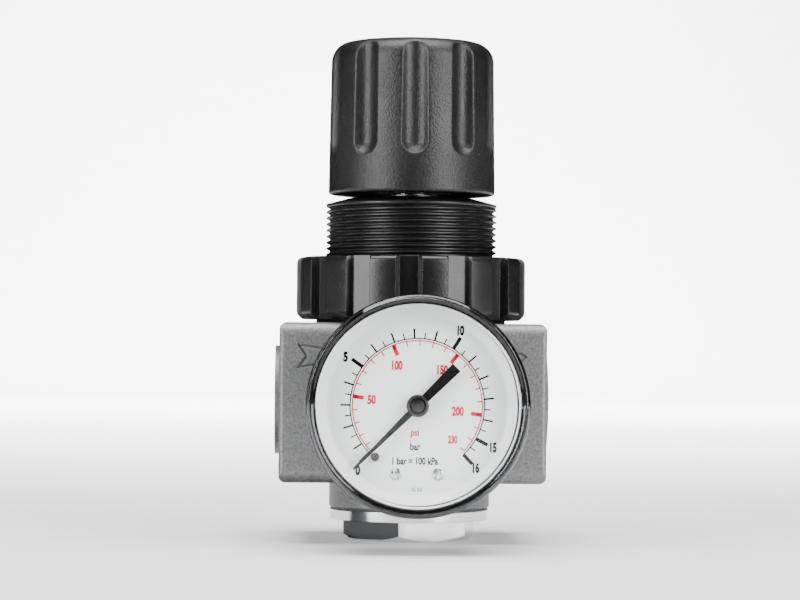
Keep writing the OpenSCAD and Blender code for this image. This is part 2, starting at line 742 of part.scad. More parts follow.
module rear_plug_seal() {
    color([0.55, 0.2, 0.15]) translate([0, body_d / 2, port_z]) rotate([-90, 0, 0])
        ring(port_seal_r, gauge_thread_d / 2 + run_gap, gauge_seal_t);
}

// ---- Gauge ----

// Brass connector: thread, square wrench block, and the block that carries tube and movement
module gauge_socket() {
    arm_w = 6;
    color([0.78, 0.62, 0.32]) on_gauge() difference() {
        union() {
            translate([0, 0, 1 - gauge_port_depth]) cylinder(d = gauge_thread_d, h = gauge_port_depth);
            translate([-socket_af / 2, -socket_af / 2, gauge_seal_t])
                cube([socket_af, socket_af, socket_floor - gauge_seal_t + eps]);
            translate([0, 0, socket_floor]) intersection() {
                cylinder(r = case_screw_x + 2, h = block_h);
                translate([-gauge_d / 2, -7.5, 0]) cube([gauge_d, 15, block_h]);
            }
            rotate([0, 0, tube_root]) translate([0, -arm_w / 2, socket_floor])
                cube([tube_r + tube_t / 2 + 1.2, arm_w, block_h]);
        }
        // Air passage from the thread to the tube's root, and tapped holes for the movement
        translate([0, 0, -gauge_port_depth]) cylinder(d = 2.4, h = gauge_port_depth + socket_len + 5);
        translate([0, 0, socket_floor + 3]) rotate([0, 90, tube_root]) cylinder(d = 1.6, h = tube_r - 1.5);
        for (side = [-1, 1]) translate([side * screw_spread, 0, back_plate_z - 4])
            cylinder(r = movement_hole_r, h = 4 + eps);
        for (side = [-1, 1]) translate([side * case_screw_x, 0, socket_floor - eps])
            cylinder(r = case_screw_r, h = 3.5);
        // Slot that takes the tube's root
        rotate([0, 0, tube_root]) translate([tube_r - tube_t / 2, -1.6, tube_z])
            cube([tube_t, 6, tube_w]);
    }
}

module gauge_seal() {
    color([0.95, 0.95, 0.92]) on_gauge() ring(port_seal_r, gauge_thread_d / 2 + run_gap, gauge_seal_t);
}

// Black cup with a step for the dial
module gauge_case() {
    step_z = dial_z - dial_t;
    hole_w = socket_af + 2 * run_gap;
    back_r = case_r - 2;
    color([0.05, 0.05, 0.06]) on_gauge() difference() {
        union() {
            translate([0, 0, case_z]) cylinder(r1 = back_r, r2 = case_r, h = 2);
            translate([0, 0, case_z + 2]) cylinder(r = case_r, h = case_rim_z - case_z - 2);
        }
        translate([0, 0, socket_floor]) cylinder(r = case_inner_r - ledge_w, h = gauge_out);
        translate([0, 0, step_z]) cylinder(r = case_inner_r, h = gauge_out);
        translate([-hole_w / 2, -hole_w / 2, case_z - eps]) cube([hole_w, hole_w, case_back + 1]);
        // Small vent in the back, which the case needs to breathe
        translate([0, 15, case_z - eps]) cylinder(r = 1.5, h = case_back + 1);
        for (side = [-1, 1]) translate([side * case_screw_x, 0, case_z - eps])
            cylinder(r = case_screw_r + run_gap, h = case_back + 1);
    }
}

// Two slotted screws that clamp the case back to the socket block
module case_screws() {
    head_h = 1;
    head_r = 1.7;
    color([0.75, 0.76, 0.78]) on_gauge() for (side = [-1, 1])
        translate([side * case_screw_x, 0, 0]) difference() {
            union() {
                translate([0, 0, case_z - head_h]) cylinder(r = head_r, h = head_h);
                translate([0, 0, case_z - eps]) cylinder(r = case_screw_r, h = case_back + 3);
            }
            translate([-2, -0.2, case_z - head_h - eps]) cube([4, 0.4, 0.5]);
        }
}

// Clear cap that clips over the case's rim
module gauge_lens() {
    bevel = 0.9;
    outer_r = gauge_d / 2;
    color([0.85, 0.9, 0.95, 0.35]) on_gauge() difference() {
        union() {
            translate([0, 0, lens_in + lens_t - lens_skirt_h])
                cylinder(r = outer_r, h = lens_skirt_h - bevel);
            translate([0, 0, gauge_out - bevel]) cylinder(r1 = outer_r, r2 = outer_r - bevel, h = bevel);
        }
        translate([0, 0, lens_in - lens_skirt_h]) cylinder(r = outer_r - lens_skirt, h = lens_skirt_h);
    }
}

// Dished dial plate
module dial() {
    color([0.95, 0.95, 0.94]) on_gauge() difference() {
        rotate_extrude() polygon([[0, dial_z - dial_t], [dial_flat_r, dial_z - dial_t],
            [dial_r, dial_z + dial_rise - dial_t], [dial_r, dial_z + dial_rise],
            [dial_flat_r, dial_z], [0, dial_z]]);
        translate([0, 0, dial_z - 1]) cylinder(r = dial_hole_r, h = 2);
        for (side = [-1, 1]) translate([side * dial_screw_x, dial_screw_y, dial_z - 1])
            cylinder(r = 0.8, h = 2);
    }
}

module dial_screws() {
    head_h = 0.5;
    color([0.8, 0.8, 0.82]) on_gauge() for (side = [-1, 1])
        translate([side * dial_screw_x, dial_screw_y, 0]) difference() {
            union() {
                translate([0, 0, dial_z]) cylinder(r = 1.4, h = head_h);
                translate([0, 0, dial_z - dial_t - 0.6]) cylinder(r = 0.75, h = dial_t + 0.7);
            }
            translate([-2, -0.2, dial_z + head_h - 0.3]) cube([4, 0.4, 1]);
        }
}

// Pin that the pointer rests against at zero
module pointer_stop_pin() {
    pin_dist = 15.2;
    stop_r = 1;
    stem_h = 1.2; // straight part below the domed head
    lead = 5.7; // degrees beyond the pointer's zero
    color([0.7, 0.7, 0.72]) on_gauge() rotate([0, 0, 90 + zero_angle + lead])
        translate([pin_dist, 0, dial_z]) {
            cylinder(r = stop_r, h = stem_h);
            translate([0, 0, stem_h]) sphere(stop_r);
        }
}

// ---- Pointer and gear train ----

// Tapered pointer with a broad tail, drawn at zero
module pointer() {
    hub = 2.3;
    color([0.04, 0.04, 0.04]) on_gauge() rotate([0, 0, 90 + zero_angle]) translate([0, 0, pointer_z])
        difference() {
            union() {
                linear_extrude(pointer_t) polygon([[0, -0.85], [pointer_tip_r - 0.3, -0.25],
                    [pointer_tip_r, 0], [pointer_tip_r - 0.3, 0.25], [0, 0.85]]);
                linear_extrude(pointer_t) polygon([[0, -0.95], [0, 0.95], [-pointer_tail_r, 1.25],
                    [-pointer_tail_r, -1.25]]);
                cylinder(r = hub, h = pointer_t);
            }
            translate([0, 0, -eps]) cylinder(r = arbor_r, h = pointer_t + 2 * eps);
        }
}

// Turned bush that presses the pointer onto the arbor
module pointer_cap() {
    color([0.75, 0.76, 0.78]) on_gauge() translate([0, 0, pointer_z + pointer_t]) difference() {
        union() {
            cylinder(r = 2.6, h = 0.5);
            translate([0, 0, 0.5]) cylinder(r1 = 2.2, r2 = 1.5, h = 0.5);
        }
        translate([0, 0, -eps]) cylinder(r = arbor_r, h = 0.5);
    }
}

// One point of an involute, unrolled by the angle a
function involute(base_r, a) =
    base_r * [cos(a) + a * PI / 180 * sin(a), sin(a) - a * PI / 180 * cos(a)];
function turned(p, a) = [p.x * cos(a) - p.y * sin(a), p.x * sin(a) + p.y * cos(a)];
function polar_angle(base_r, r) = sqrt(pow(r / base_r, 2) - 1) * 180 / PI;

// One gear tooth on +X, from inside the root circle to a stubbed tip
module tooth(teeth) {
    pressure = 25;
    pitch_r = gear_module * teeth / 2;
    base_r = pitch_r * cos(pressure);
    root_r = pitch_r - 1.05 * gear_module;
    tip_r = pitch_r + 0.75 * gear_module;
    start_r = max(base_r, root_r);
    half = 90 / teeth - backlash / pitch_r * 180 / PI
        + tan(pressure) * 180 / PI - pressure;
    steps = 5;
    flank = [for (i = [0:steps]) let (r = start_r + (tip_r - start_r) * i / steps)
        turned(involute(base_r, polar_angle(base_r, r)), -half)];
    upper = [for (i = [steps:-1:0]) [flank[i].x, -flank[i].y]];
    inner = root_r - 0.1;
    polygon(concat([inner * [cos(half), -sin(half)]], flank, upper,
        [inner * [cos(half), sin(half)]]));
}

// Pinion and its arbor, turned from one piece
module pinion_arbor() {
    top = pointer_z + 0.8;
    foot_z = back_plate_z + 0.2;
    color([0.85, 0.72, 0.42]) on_gauge() {
        translate([0, 0, foot_z]) cylinder(r = arbor_r, h = top - foot_z);
        translate([0, 0, gear_z - 0.2]) linear_extrude(pinion_t) rotate([0, 0, 90 + 180 / pinion_teeth]) {
            circle(pinion_pitch_r - 1.05 * gear_module);
            for (i = [0:pinion_teeth - 1]) rotate([0, 0, i * 360 / pinion_teeth]) tooth(pinion_teeth);
        }
    }
}

// Toothed sector with a tail; at zero its middle leans a half sweep to the right
module sector_gear() {
    hub_r = 2;
    rim_r = sector_pitch_r - 1.05 * gear_module;
    step = 360 / sector_teeth;
    reach = floor(sector_half / step);
    lean = round(sector_sweep / 2 / step) * step;
    color([0.8, 0.66, 0.36]) on_gauge() translate([0, sector_y, gear_z]) linear_extrude(gear_t)
        difference() {
            union() {
                circle(hub_r);
                rotate([0, 0, 90 - lean]) {
                    for (i = [-reach:reach]) rotate([0, 0, i * step]) tooth(sector_teeth);
                    intersection() {
                        difference() {
                            circle(rim_r);
                            circle(rim_r - 1.4);
                        }
                        polygon([[0, 0], 12 * [cos(sector_half), -sin(sector_half)], [16, 0],
                            12 * [cos(sector_half), sin(sector_half)]]);
                    }
                    translate([0, -0.8]) square([rim_r - 0.5, 1.6]);
                }
                rotate([0, 0, tail_angle]) {
                    translate([0, -1.1]) square([tail_r, 2.2]);
                    translate([tail_r, 0]) circle(1.1);
                }
            }
            circle(arbor_r);
            rotate([0, 0, tail_angle]) translate([tail_r, 0]) circle(pin_r);
        }
}

module sector_arbor() {
    foot_z = back_plate_z + 0.2;
    color([0.8, 0.8, 0.82]) on_gauge() translate([0, sector_y, foot_z])
        cylinder(r = arbor_r, h = front_plate_z + plate_h - 0.2 - foot_z);
}

// Shouldered screw in the sector's tail that the link hooks over
module link_screw() {
    head_z = link_z + link_t + 0.25;
    color([0.8, 0.8, 0.82]) on_gauge() translate([tail_x, tail_y, 0]) {
        translate([0, 0, gear_z]) cylinder(r = pin_r, h = head_z - gear_z + eps);
        translate([0, 0, head_z]) cylinder(r = 1.1, h = 0.4);
    }
}

// Outline shared by both movement plates
module movement_plate() {
    linear_extrude(plate_h) difference() {
        union() {
            round_rect(2 * screw_spread + 3.6, 4.4, 1.6);
            translate([0, sector_y / 2]) round_rect(4.2, -sector_y + 4.2, 1.6);
        }
        circle(arbor_r + run_gap);
        translate([0, sector_y]) circle(arbor_r + run_gap);
        for (side = [-1, 1]) translate([side * screw_spread, 0]) circle(movement_hole_r);
    }
}

module movement_back_plate() {
    color([0.8, 0.66, 0.36]) on_gauge() translate([0, 0, back_plate_z]) movement_plate();
}

module movement_front_plate() {
    color([0.8, 0.66, 0.36]) on_gauge() translate([0, 0, front_plate_z]) movement_plate();
}

// Two tubes that keep the plates apart
module movement_pillars() {
    color([0.8, 0.66, 0.36]) on_gauge() for (side = [-1, 1])
        translate([side * screw_spread, 0, back_plate_z + plate_h]) ring(1.4, movement_hole_r, pillar_h);
}

// Two long screws through plates and pillars into the socket block
module movement_screws() {
    head_z = front_plate_z + plate_h;
    color([0.75, 0.76, 0.78]) on_gauge() for (side = [-1, 1])
        translate([side * screw_spread, 0, 0]) difference() {
            union() {
                translate([0, 0, back_plate_z - movement_screw_depth])
                    cylinder(r = movement_screw_r, h = head_z - back_plate_z + movement_screw_depth);
                translate([0, 0, head_z]) cylinder(r = 1.3, h = 0.7);
            }
            translate([-2, -0.15, head_z + 0.4]) cube([4, 0.3, 1]);
        }
}

// Flat spiral that takes up the play in the gears
module hairspring() {
    turns = 4;
    steps = 96;
    inner_r = arbor_r + 0.5;
    pitch = 0.55;
    band = 0.12;
    height = 0.6;
    spiral = [for (i = [0:steps])
        let (a = 360 * turns * i / steps, r = inner_r + pitch * turns * i / steps)
        r * [cos(a), sin(a)]];
    outer = [for (i = [steps:-1:0]) spiral[i] * (1 + band / norm(spiral[i]))];
    color([0.9, 0.8, 0.5]) on_gauge() translate([0, 0, front_plate_z - 1.3])
        linear_extrude(height) polygon(concat(spiral, outer));
}

// Flattened tube bent into a hook; pressure opens it and moves its free end
module bourdon_tube() {
    sweep = tube_root - tube_end;
    wall = 0.3;
    color([0.82, 0.68, 0.4]) on_gauge() translate([0, 0, tube_z]) rotate([0, 0, tube_end])
        rotate_extrude(angle = sweep) translate([tube_r, 0]) difference() {
            translate([-tube_t / 2, 0]) square([tube_t, tube_w]);
            translate([-tube_t / 2 + wall, wall]) square([tube_t - 2 * wall, tube_w - 2 * wall]);
        }
}

// Brass piece that closes the tube's free end and carries the link
module tube_tip() {
    tip_len = 3;
    color([0.78, 0.62, 0.32]) on_gauge() difference() {
        union() {
            rotate([0, 0, tube_end]) translate([tube_r - tube_t / 2 - 0.3, -tip_len, tube_z])
                cube([tube_t + 0.6, tip_len, tube_w]);
            translate([tip_x, tail_y, tube_z + tube_w - 1])
                cylinder(r = 1.4, h = link_z - tube_z - tube_w + 1);
        }
        translate([tip_x, tail_y, tube_z]) cylinder(r = pin_r, h = 12);
    }
}

module tip_pin() {
    color([0.8, 0.8, 0.82]) on_gauge() translate([tip_x, tail_y, tube_z + 1]) {
        cylinder(r = pin_r, h = link_z + link_t - tube_z - 1 + 0.1);
        translate([0, 0, link_z + link_t - tube_z - 1]) cylinder(r = 0.9, h = 0.4);
    }
}

// Strip that pulls the sector's tail as the tube's free end moves
module link() {
    color([0.8, 0.66, 0.36]) on_gauge() translate([0, 0, link_z]) difference() {
        bar([tail_x, tail_y], [tip_x, tail_y], 2.4, link_t);
        translate([tail_x, tail_y, -eps]) cylinder(r = pin_r + open_pivot_gap, h = link_t + 2 * eps);
        translate([tip_x, tail_y, -eps]) cylinder(r = pin_r, h = link_t + 2 * eps);
    }
}

valve_body();
bottom_plug();
bottom_plug_o_ring();
poppet();
poppet_stem();
poppet_seal();
poppet_spring();
relief_hub();
diaphragm();
diaphragm_plate();
slip_ring();
bonnet();
ring_washer();
panel_ring_nut();
adjusting_screw();
thrust_washer();
screw_clip();
spring_nut();
main_spring();
knob();
knob_detent_ring();
rear_port_plug();
rear_plug_seal();
gauge_socket();
gauge_seal();
gauge_case();
case_screws();
gauge_lens();
dial();
dial_screws();
pointer_stop_pin();
pointer();
pointer_cap();
pinion_arbor();
sector_gear();
sector_arbor();
link_screw();
movement_back_plate();
movement_front_plate();
movement_pillars();
movement_screws();
hairspring();
bourdon_tube();
tube_tip();
tip_pin();
link();
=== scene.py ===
# %% [markdown]
# # A compressed-air pressure reducing valve
# The design model comes in as a fixed frame of 46 pieces on moving bodies. This lesson gives
# each visible piece its finished shape and finish. Where the design model is already right, as on
# the cast body, it stays and only gets a material. Where the real piece has moulded flutes, a true
# thread or print, a finer surface replaces it, worked out with numpy on a grid.

# %% Load the frame
import math

import bmesh
import bpy
import numpy as np
from mathutils import Matrix, Vector


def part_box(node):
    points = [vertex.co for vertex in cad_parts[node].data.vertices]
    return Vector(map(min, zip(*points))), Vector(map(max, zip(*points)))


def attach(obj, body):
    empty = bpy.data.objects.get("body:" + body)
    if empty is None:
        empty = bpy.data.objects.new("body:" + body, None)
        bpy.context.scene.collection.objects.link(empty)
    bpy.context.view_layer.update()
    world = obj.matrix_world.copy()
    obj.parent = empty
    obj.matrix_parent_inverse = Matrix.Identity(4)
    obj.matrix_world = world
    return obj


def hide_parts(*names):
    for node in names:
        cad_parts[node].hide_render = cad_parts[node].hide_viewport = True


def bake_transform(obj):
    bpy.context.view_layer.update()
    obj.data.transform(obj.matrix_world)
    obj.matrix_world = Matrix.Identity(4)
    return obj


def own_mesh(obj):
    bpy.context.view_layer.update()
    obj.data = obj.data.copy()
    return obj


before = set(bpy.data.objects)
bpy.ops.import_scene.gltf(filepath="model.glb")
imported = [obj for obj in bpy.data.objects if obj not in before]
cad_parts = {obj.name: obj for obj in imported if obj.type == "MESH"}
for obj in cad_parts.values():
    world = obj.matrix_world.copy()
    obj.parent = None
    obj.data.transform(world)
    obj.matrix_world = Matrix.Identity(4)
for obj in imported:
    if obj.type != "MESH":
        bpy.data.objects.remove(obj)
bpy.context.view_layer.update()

MM = 0.001

# %% [markdown]
# ## The camera
# A long lens some 0.67 m away sees the valve almost level, a little from its left. The picture is
# shifted, not tilted, so that upright edges stay upright.

# %% Camera
CAMERA_DISTANCE = 0.67
CAMERA_AZIMUTH = math.radians(-2.0)
CAMERA_HEIGHT = 0.0501
LENS = 122.1
LEAN = math.radians(-0.5)

camera_data = bpy.data.cameras.new("camera")
camera_data.lens = LENS
camera_data.sensor_width = 36
camera_data.shift_x = -0.013
camera_data.shift_y = 0.044
camera_data.clip_start = 0.05
camera_data.clip_end = 20
camera = bpy.data.objects.new("camera", camera_data)
camera.location = (CAMERA_DISTANCE * math.sin(CAMERA_AZIMUTH),
                   -CAMERA_DISTANCE * math.cos(CAMERA_AZIMUTH), CAMERA_HEIGHT)
camera.rotation_euler = (math.radians(90), LEAN, CAMERA_AZIMUTH)
bpy.context.scene.collection.objects.link(camera)
bpy.context.scene.camera = camera
print("camera at", [round(v, 3) for v in camera.location])

# %% [markdown]
# ## Helpers for surfaces
# Most pieces here are turned or moulded, so one idea serves them all: a grid of points, one row for
# each point of a profile and one column for each direction round the axis. The grid becomes a mesh
# in one step. Rows that meet on the axis are merged, so poles and seams are closed.

# %% Grid meshes
def finish_mesh(name, verts, faces, material, body, sharp=40):
    """Puts vertices and faces in a mesh, merges doubles, turns the faces outwards and shades it
    smooth except along edges sharper than the angle. It rides on the body, if one is named."""
    mesh = bpy.data.meshes.new(name)
    mesh.from_pydata(np.asarray(verts).tolist(), [], [list(face) for face in faces])
    work = bmesh.new()
    work.from_mesh(mesh)
    bmesh.ops.remove_doubles(work, verts=work.verts, dist=1e-7)
    bmesh.ops.dissolve_degenerate(work, edges=work.edges, dist=1e-8)
    bmesh.ops.recalc_face_normals(work, faces=work.faces)
    work.to_mesh(mesh)
    work.free()
    mesh.polygons.foreach_set("use_smooth", np.ones(len(mesh.polygons), bool))
    mesh.set_sharp_from_angle(angle=math.radians(sharp))
    piece = bpy.data.objects.new(name, mesh)
    bpy.context.scene.collection.objects.link(piece)
    mesh.materials.append(material)
    if body:
        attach(piece, body)
    return piece


def grid_faces(rows, cols, wrap_rows, wrap_cols):
    """Quads of a grid of rows by cols points; either way round may close on itself."""
    i = np.arange(rows if wrap_rows else rows - 1)
    j = np.arange(cols if wrap_cols else cols - 1)
    a, b = np.meshgrid(i, j, indexing="ij")
    a2, b2 = (a + 1) % rows, (b + 1) % cols
    quads = [a * cols + b, a * cols + b2, a2 * cols + b2, a2 * cols + b]
    return np.stack(quads, axis=-1).reshape(-1, 4)


def around(count, turn=0.0):
    """Directions round the axis in radians, evenly spaced."""
    return turn + np.arange(count) * 2 * math.pi / count


def revolved(radii, heights, angles):
    """Points at the given radii (rows by columns), heights (rows) and angles (columns)."""
    radii = np.broadcast_to(radii, (len(heights), len(angles)))
    z = np.broadcast_to(np.asarray(heights)[:, None], radii.shape)
    return np.stack([radii * np.cos(angles), radii * np.sin(angles), z], axis=-1)


def rounded(corners, radius, steps=5):
    """An open outline with each inner corner replaced by a short curve: a quadratic Bezier whose
    ends lie the radius away from the corner along both sides, or less on a short side."""
    corners = np.asarray(corners, float)
    radius = np.broadcast_to(radius, len(corners))
    t = np.linspace(0, 1, steps)[:, None]
    out = [corners[:1]]
    for k in range(1, len(corners) - 1):
        before, here, after = corners[k - 1:k + 2]
        back, ahead = before - here, after - here
        a = here + back * min(radius[k] / np.linalg.norm(back), 0.49)
        b = here + ahead * min(radius[k] / np.linalg.norm(ahead), 0.49)
        out.append((1 - t) ** 2 * a + 2 * t * (1 - t) * here + t ** 2 * b)
    out.append(corners[-1:])
    return np.vstack(out)


def lathe(name, outline, material, body, count=128, place=None, closed=False, sharp=40):
    """A turned piece: the outline of (radius, height) points is carried round the axis. A closed
    outline is a ring; an open one starts and ends on the axis."""
    outline = np.asarray(outline, float)
    points = revolved(outline[:, :1], outline[:, 1], around(count)).reshape(-1, 3)
    if place is not None:
        points = place(points)
    faces = grid_faces(len(outline), count, closed, True)
    return finish_mesh(name, points, faces, material, body, sharp)


# The gauge faces -Y: its own x is the model's x, its y is the model's z, and its z points at the
# viewer from the body's front face.
body_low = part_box("valve_body")[0]
GAUGE_Y = body_low[1]
GAUGE_Z = (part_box("gauge_lens")[0][2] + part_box("gauge_lens")[1][2]) / 2


def on_gauge(points):
    """Turns points from the gauge's own frame into the model's frame."""
    points = np.asarray(points, float)
    return np.stack([points[..., 0], GAUGE_Y - points[..., 2], GAUGE_Z + points[..., 1]], axis=-1)


print("gauge axis at height", round(GAUGE_Z / MM, 2), "mm")

# %% [markdown]
# ## Shared effects
# One shader group serves most materials. `fine_grain` is the tiny unevenness of moulded or blasted
# surfaces: noise drives a bump and varies the roughness. A bevel node in it rounds the look of the
# sharp edges that the design model has, because no real edge is perfectly sharp.

# %% Shader groups
def new_group(name, inputs, outputs):
    """An empty shader group with named inputs and outputs."""
    group = bpy.data.node_groups.new(name, "ShaderNodeTree")
    for label, kind, value in inputs:
        made = group.interface.new_socket(label, in_out="INPUT", socket_type=kind)
        if value is not None:
            made.default_value = value
    for label, kind in outputs:
        group.interface.new_socket(label, in_out="OUTPUT", socket_type=kind)
    start = group.nodes.new("NodeGroupInput")
    end = group.nodes.new("NodeGroupOutput")
    return group, start, end


def mapped(nodes, links, value, low, high, from_low=0.0, from_high=1.0):
    """A Map Range node from a value to the range low to high; ends may be sockets or numbers."""
    node = nodes.new("ShaderNodeMapRange")
    links.new(value, node.inputs["Value"])
    for label, end in (("To Min", low), ("To Max", high), ("From Min", from_low), ("From Max", from_high)):
        if isinstance(end, (int, float)):
            node.inputs[label].default_value = end
        else:
            links.new(end, node.inputs[label])
    return node.outputs["Result"]


FLOAT, VECTOR = "NodeSocketFloat", "NodeSocketVector"
fine_grain, grain_in, grain_out = new_group(
    "fine_grain",
    [("Scale", FLOAT, 2000.0), ("Depth", FLOAT, 0.3), ("Smoothest", FLOAT, 0.4),
     ("Roughest", FLOAT, 0.6), ("Patch Scale", FLOAT, 60.0), ("Edge Radius", FLOAT, 0.0003)],
    [("Roughness", FLOAT), ("Normal", VECTOR), ("Patches", FLOAT)])
nodes, links = fine_grain.nodes, fine_grain.links
place = nodes.new("ShaderNodeTexCoord")
grain = nodes.new("ShaderNodeTexNoise")
grain.inputs["Detail"].default_value = 3
links.new(place.outputs["Object"], grain.inputs["Vector"])
links.new(grain_in.outputs["Scale"], grain.inputs["Scale"])
patch = nodes.new("ShaderNodeTexNoise")
patch.inputs["Detail"].default_value = 4
links.new(place.outputs["Object"], patch.inputs["Vector"])
links.new(grain_in.outputs["Patch Scale"], patch.inputs["Scale"])
eased = nodes.new("ShaderNodeBevel")
eased.samples = 4
links.new(grain_in.outputs["Edge Radius"], eased.inputs["Radius"])
bump = nodes.new("ShaderNodeBump")
bump.inputs["Distance"].default_value = 0.0001
links.new(grain_in.outputs["Depth"], bump.inputs["Strength"])
links.new(grain.outputs["Fac"], bump.inputs["Height"])
links.new(eased.outputs["Normal"], bump.inputs["Normal"])
links.new(bump.outputs["Normal"], grain_out.inputs["Normal"])
links.new(mapped(nodes, links, patch.outputs["Fac"], grain_in.outputs["Smoothest"],
                 grain_in.outputs["Roughest"], 0.3, 0.7), grain_out.inputs["Roughness"])
links.new(mapped(nodes, links, patch.outputs["Fac"], 0.0, 1.0, 0.3, 0.7), grain_out.inputs["Patches"])
print("shader group fine_grain is ready")


# %% Materials
def surface(name, low, high, smoothest, roughest, metal=0.0, scale=2000.0, depth=0.3,
            patches=60.0, edge=0.0003, **sockets):
    """A material whose colour wanders between two close tones, with fine grain in its gloss and
    normal. Named sockets of the shader may be set as well."""
    material = bpy.data.materials.new(name)
    material.use_nodes = True
    nodes, links = material.node_tree.nodes, material.node_tree.links
    shader = nodes["Principled BSDF"]
    group = nodes.new("ShaderNodeGroup")
    group.node_tree = fine_grain
    for label, value in (("Scale", scale), ("Depth", depth), ("Smoothest", smoothest),
                         ("Roughest", roughest), ("Patch Scale", patches), ("Edge Radius", edge)):
        group.inputs[label].default_value = value
    tone = nodes.new("ShaderNodeMix")
    tone.data_type = "RGBA"
    tone.inputs["A"].default_value = (*low, 1)
    tone.inputs["B"].default_value = (*high, 1)
    links.new(group.outputs["Patches"], tone.inputs["Factor"])
    links.new(tone.outputs["Result"], shader.inputs["Base Color"])
    links.new(group.outputs["Roughness"], shader.inputs["Roughness"])
    links.new(group.outputs["Normal"], shader.inputs["Normal"])
    shader.inputs["Metallic"].default_value = metal
    for label, value in sockets.items():
        shader.inputs[label.replace("_", " ")].default_value = value
    return material


knob_nylon = surface("knob_nylon", (0.0045, 0.0045, 0.005), (0.0065, 0.0065, 0.007), 0.34, 0.45,
                     scale=2000, depth=1.2)
nut_nylon = surface("nut_nylon", (0.004, 0.004, 0.0045), (0.006, 0.006, 0.0065), 0.24, 0.34,
                    scale=1800, depth=0.25)
bonnet_nylon = surface("bonnet_nylon", (0.003, 0.003, 0.0035), (0.005, 0.005, 0.0055), 0.32, 0.42,
                       scale=1800, depth=0.2, edge=0.0001)
case_plastic = surface("case_plastic", (0.004, 0.004, 0.0045), (0.006, 0.006, 0.0065), 0.25, 0.34,
                       scale=900, depth=0.08)
cast_metal = surface("cast_metal", (0.15, 0.151, 0.154), (0.255, 0.257, 0.261), 0.42, 0.52, 0.65,
                     scale=1800, depth=0.9, patches=1600, edge=0.0004)
chrome = surface("chrome", (0.62, 0.63, 0.645), (0.68, 0.685, 0.7), 0.12, 0.18, 1.0,
                 scale=900, depth=0.06, patches=200, edge=0.0003)
brass = surface("brass", (0.62, 0.44, 0.2), (0.72, 0.53, 0.26), 0.22, 0.34, 1.0, depth=0.1)
steel = surface("steel", (0.55, 0.56, 0.57), (0.63, 0.63, 0.64), 0.2, 0.32, 1.0, depth=0.1)
bright_steel = surface("bright_steel", (0.72, 0.72, 0.73), (0.8, 0.8, 0.81), 0.14, 0.22, 1.0, depth=0.05)
spring_wire = surface("spring_wire", (0.3, 0.31, 0.32), (0.4, 0.4, 0.41), 0.28, 0.4, 1.0, depth=0.1)
black_rubber = surface("black_rubber", (0.015, 0.015, 0.015), (0.022, 0.022, 0.022), 0.6, 0.75)
white_nylon = surface("white_nylon", (0.75, 0.74, 0.68), (0.8, 0.79, 0.74), 0.4, 0.5)
red_fibre = surface("red_fibre", (0.35, 0.1, 0.06), (0.42, 0.14, 0.08), 0.6, 0.75)
dial_enamel = surface("dial_enamel", (0.9, 0.905, 0.92), (0.92, 0.925, 0.935), 0.42, 0.5,
                      scale=1200, depth=0.05)
black_print = surface("black_print", (0.002, 0.002, 0.002), (0.003, 0.003, 0.003), 0.6, 0.7,
                      Specular_IOR_Level=0.06)
red_print = surface("red_print", (0.6, 0.002, 0.03), (0.66, 0.003, 0.035), 0.6, 0.7,
                    Specular_IOR_Level=0.15)
pointer_paint = surface("pointer_paint", (0.0025, 0.0025, 0.0025), (0.004, 0.004, 0.004), 0.5, 0.6,
                        Specular_IOR_Level=0.08)
dark_steel = surface("dark_steel", (0.045, 0.043, 0.041), (0.065, 0.062, 0.06), 0.18, 0.28, 0.85,
                     depth=0.1)
print("materials:", len(bpy.data.materials))

# %% [markdown]
# ## The knob
# The knob is moulded nylon: a slightly drafted drum with a shallow domed top and ten grip flutes
# with ball-shaped lower ends. A boolean would leave hard rims, so the flutes are worked into the
# radius itself. At each height the skin is the smaller of two distances, the drum's and the
# flute's, and a smooth minimum rounds the rim between them as a mould does.

# %% Knob
def smooth_min(a, b, reach):
    """The smaller of two values, eased where they are closer than the reach."""
    h = np.clip(reach - np.abs(a - b), 0, None) / reach
    return np.minimum(a, b) - h * h * reach / 4


knob_low, knob_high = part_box("knob")
KNOB_R = (knob_high[0] - knob_low[0]) / 2
KNOB_Z, KNOB_TOP = knob_low[2], knob_high[2]
KNOB_TOP_R = KNOB_R - 0.5 * MM
SHOULDER_R = 4.8 * MM
DOME_R = 120 * MM
SOCKET_R, BOSS_R = 4.06 * MM, 8 * MM
FLUTES = 10
FLUTE_W, FLUTE_DEPTH, FLUTE_RISE = 6.9 * MM, 2.2 * MM, 9.2 * MM
FLUTE_R = (FLUTE_W ** 2 / 4 + FLUTE_DEPTH ** 2) / 2 / FLUTE_DEPTH
FLUTE_AXIS = KNOB_R - FLUTE_DEPTH + FLUTE_R
FLUTE_Z = KNOB_Z + FLUTE_RISE + FLUTE_W / 2


def flute_distance(angles, heights):
    """How far out the nearest flute's wall is. A flute is a round bar standing outside the drum;
    below its lower end the bar's radius shrinks as a ball's does. Far from a flute it is large."""
    pitch = 2 * math.pi / FLUTES
    off = (angles + math.pi / 2 + pitch / 2) % pitch - pitch / 2
    below = np.clip(FLUTE_Z - heights, 0, FLUTE_R)[:, None]
    bar = np.sqrt(FLUTE_R ** 2 - below ** 2)
    aside = FLUTE_AXIS * np.sin(off)[None, :]
    return FLUTE_AXIS * np.cos(off) - np.sqrt(np.clip(bar ** 2 - aside ** 2, 0, None))


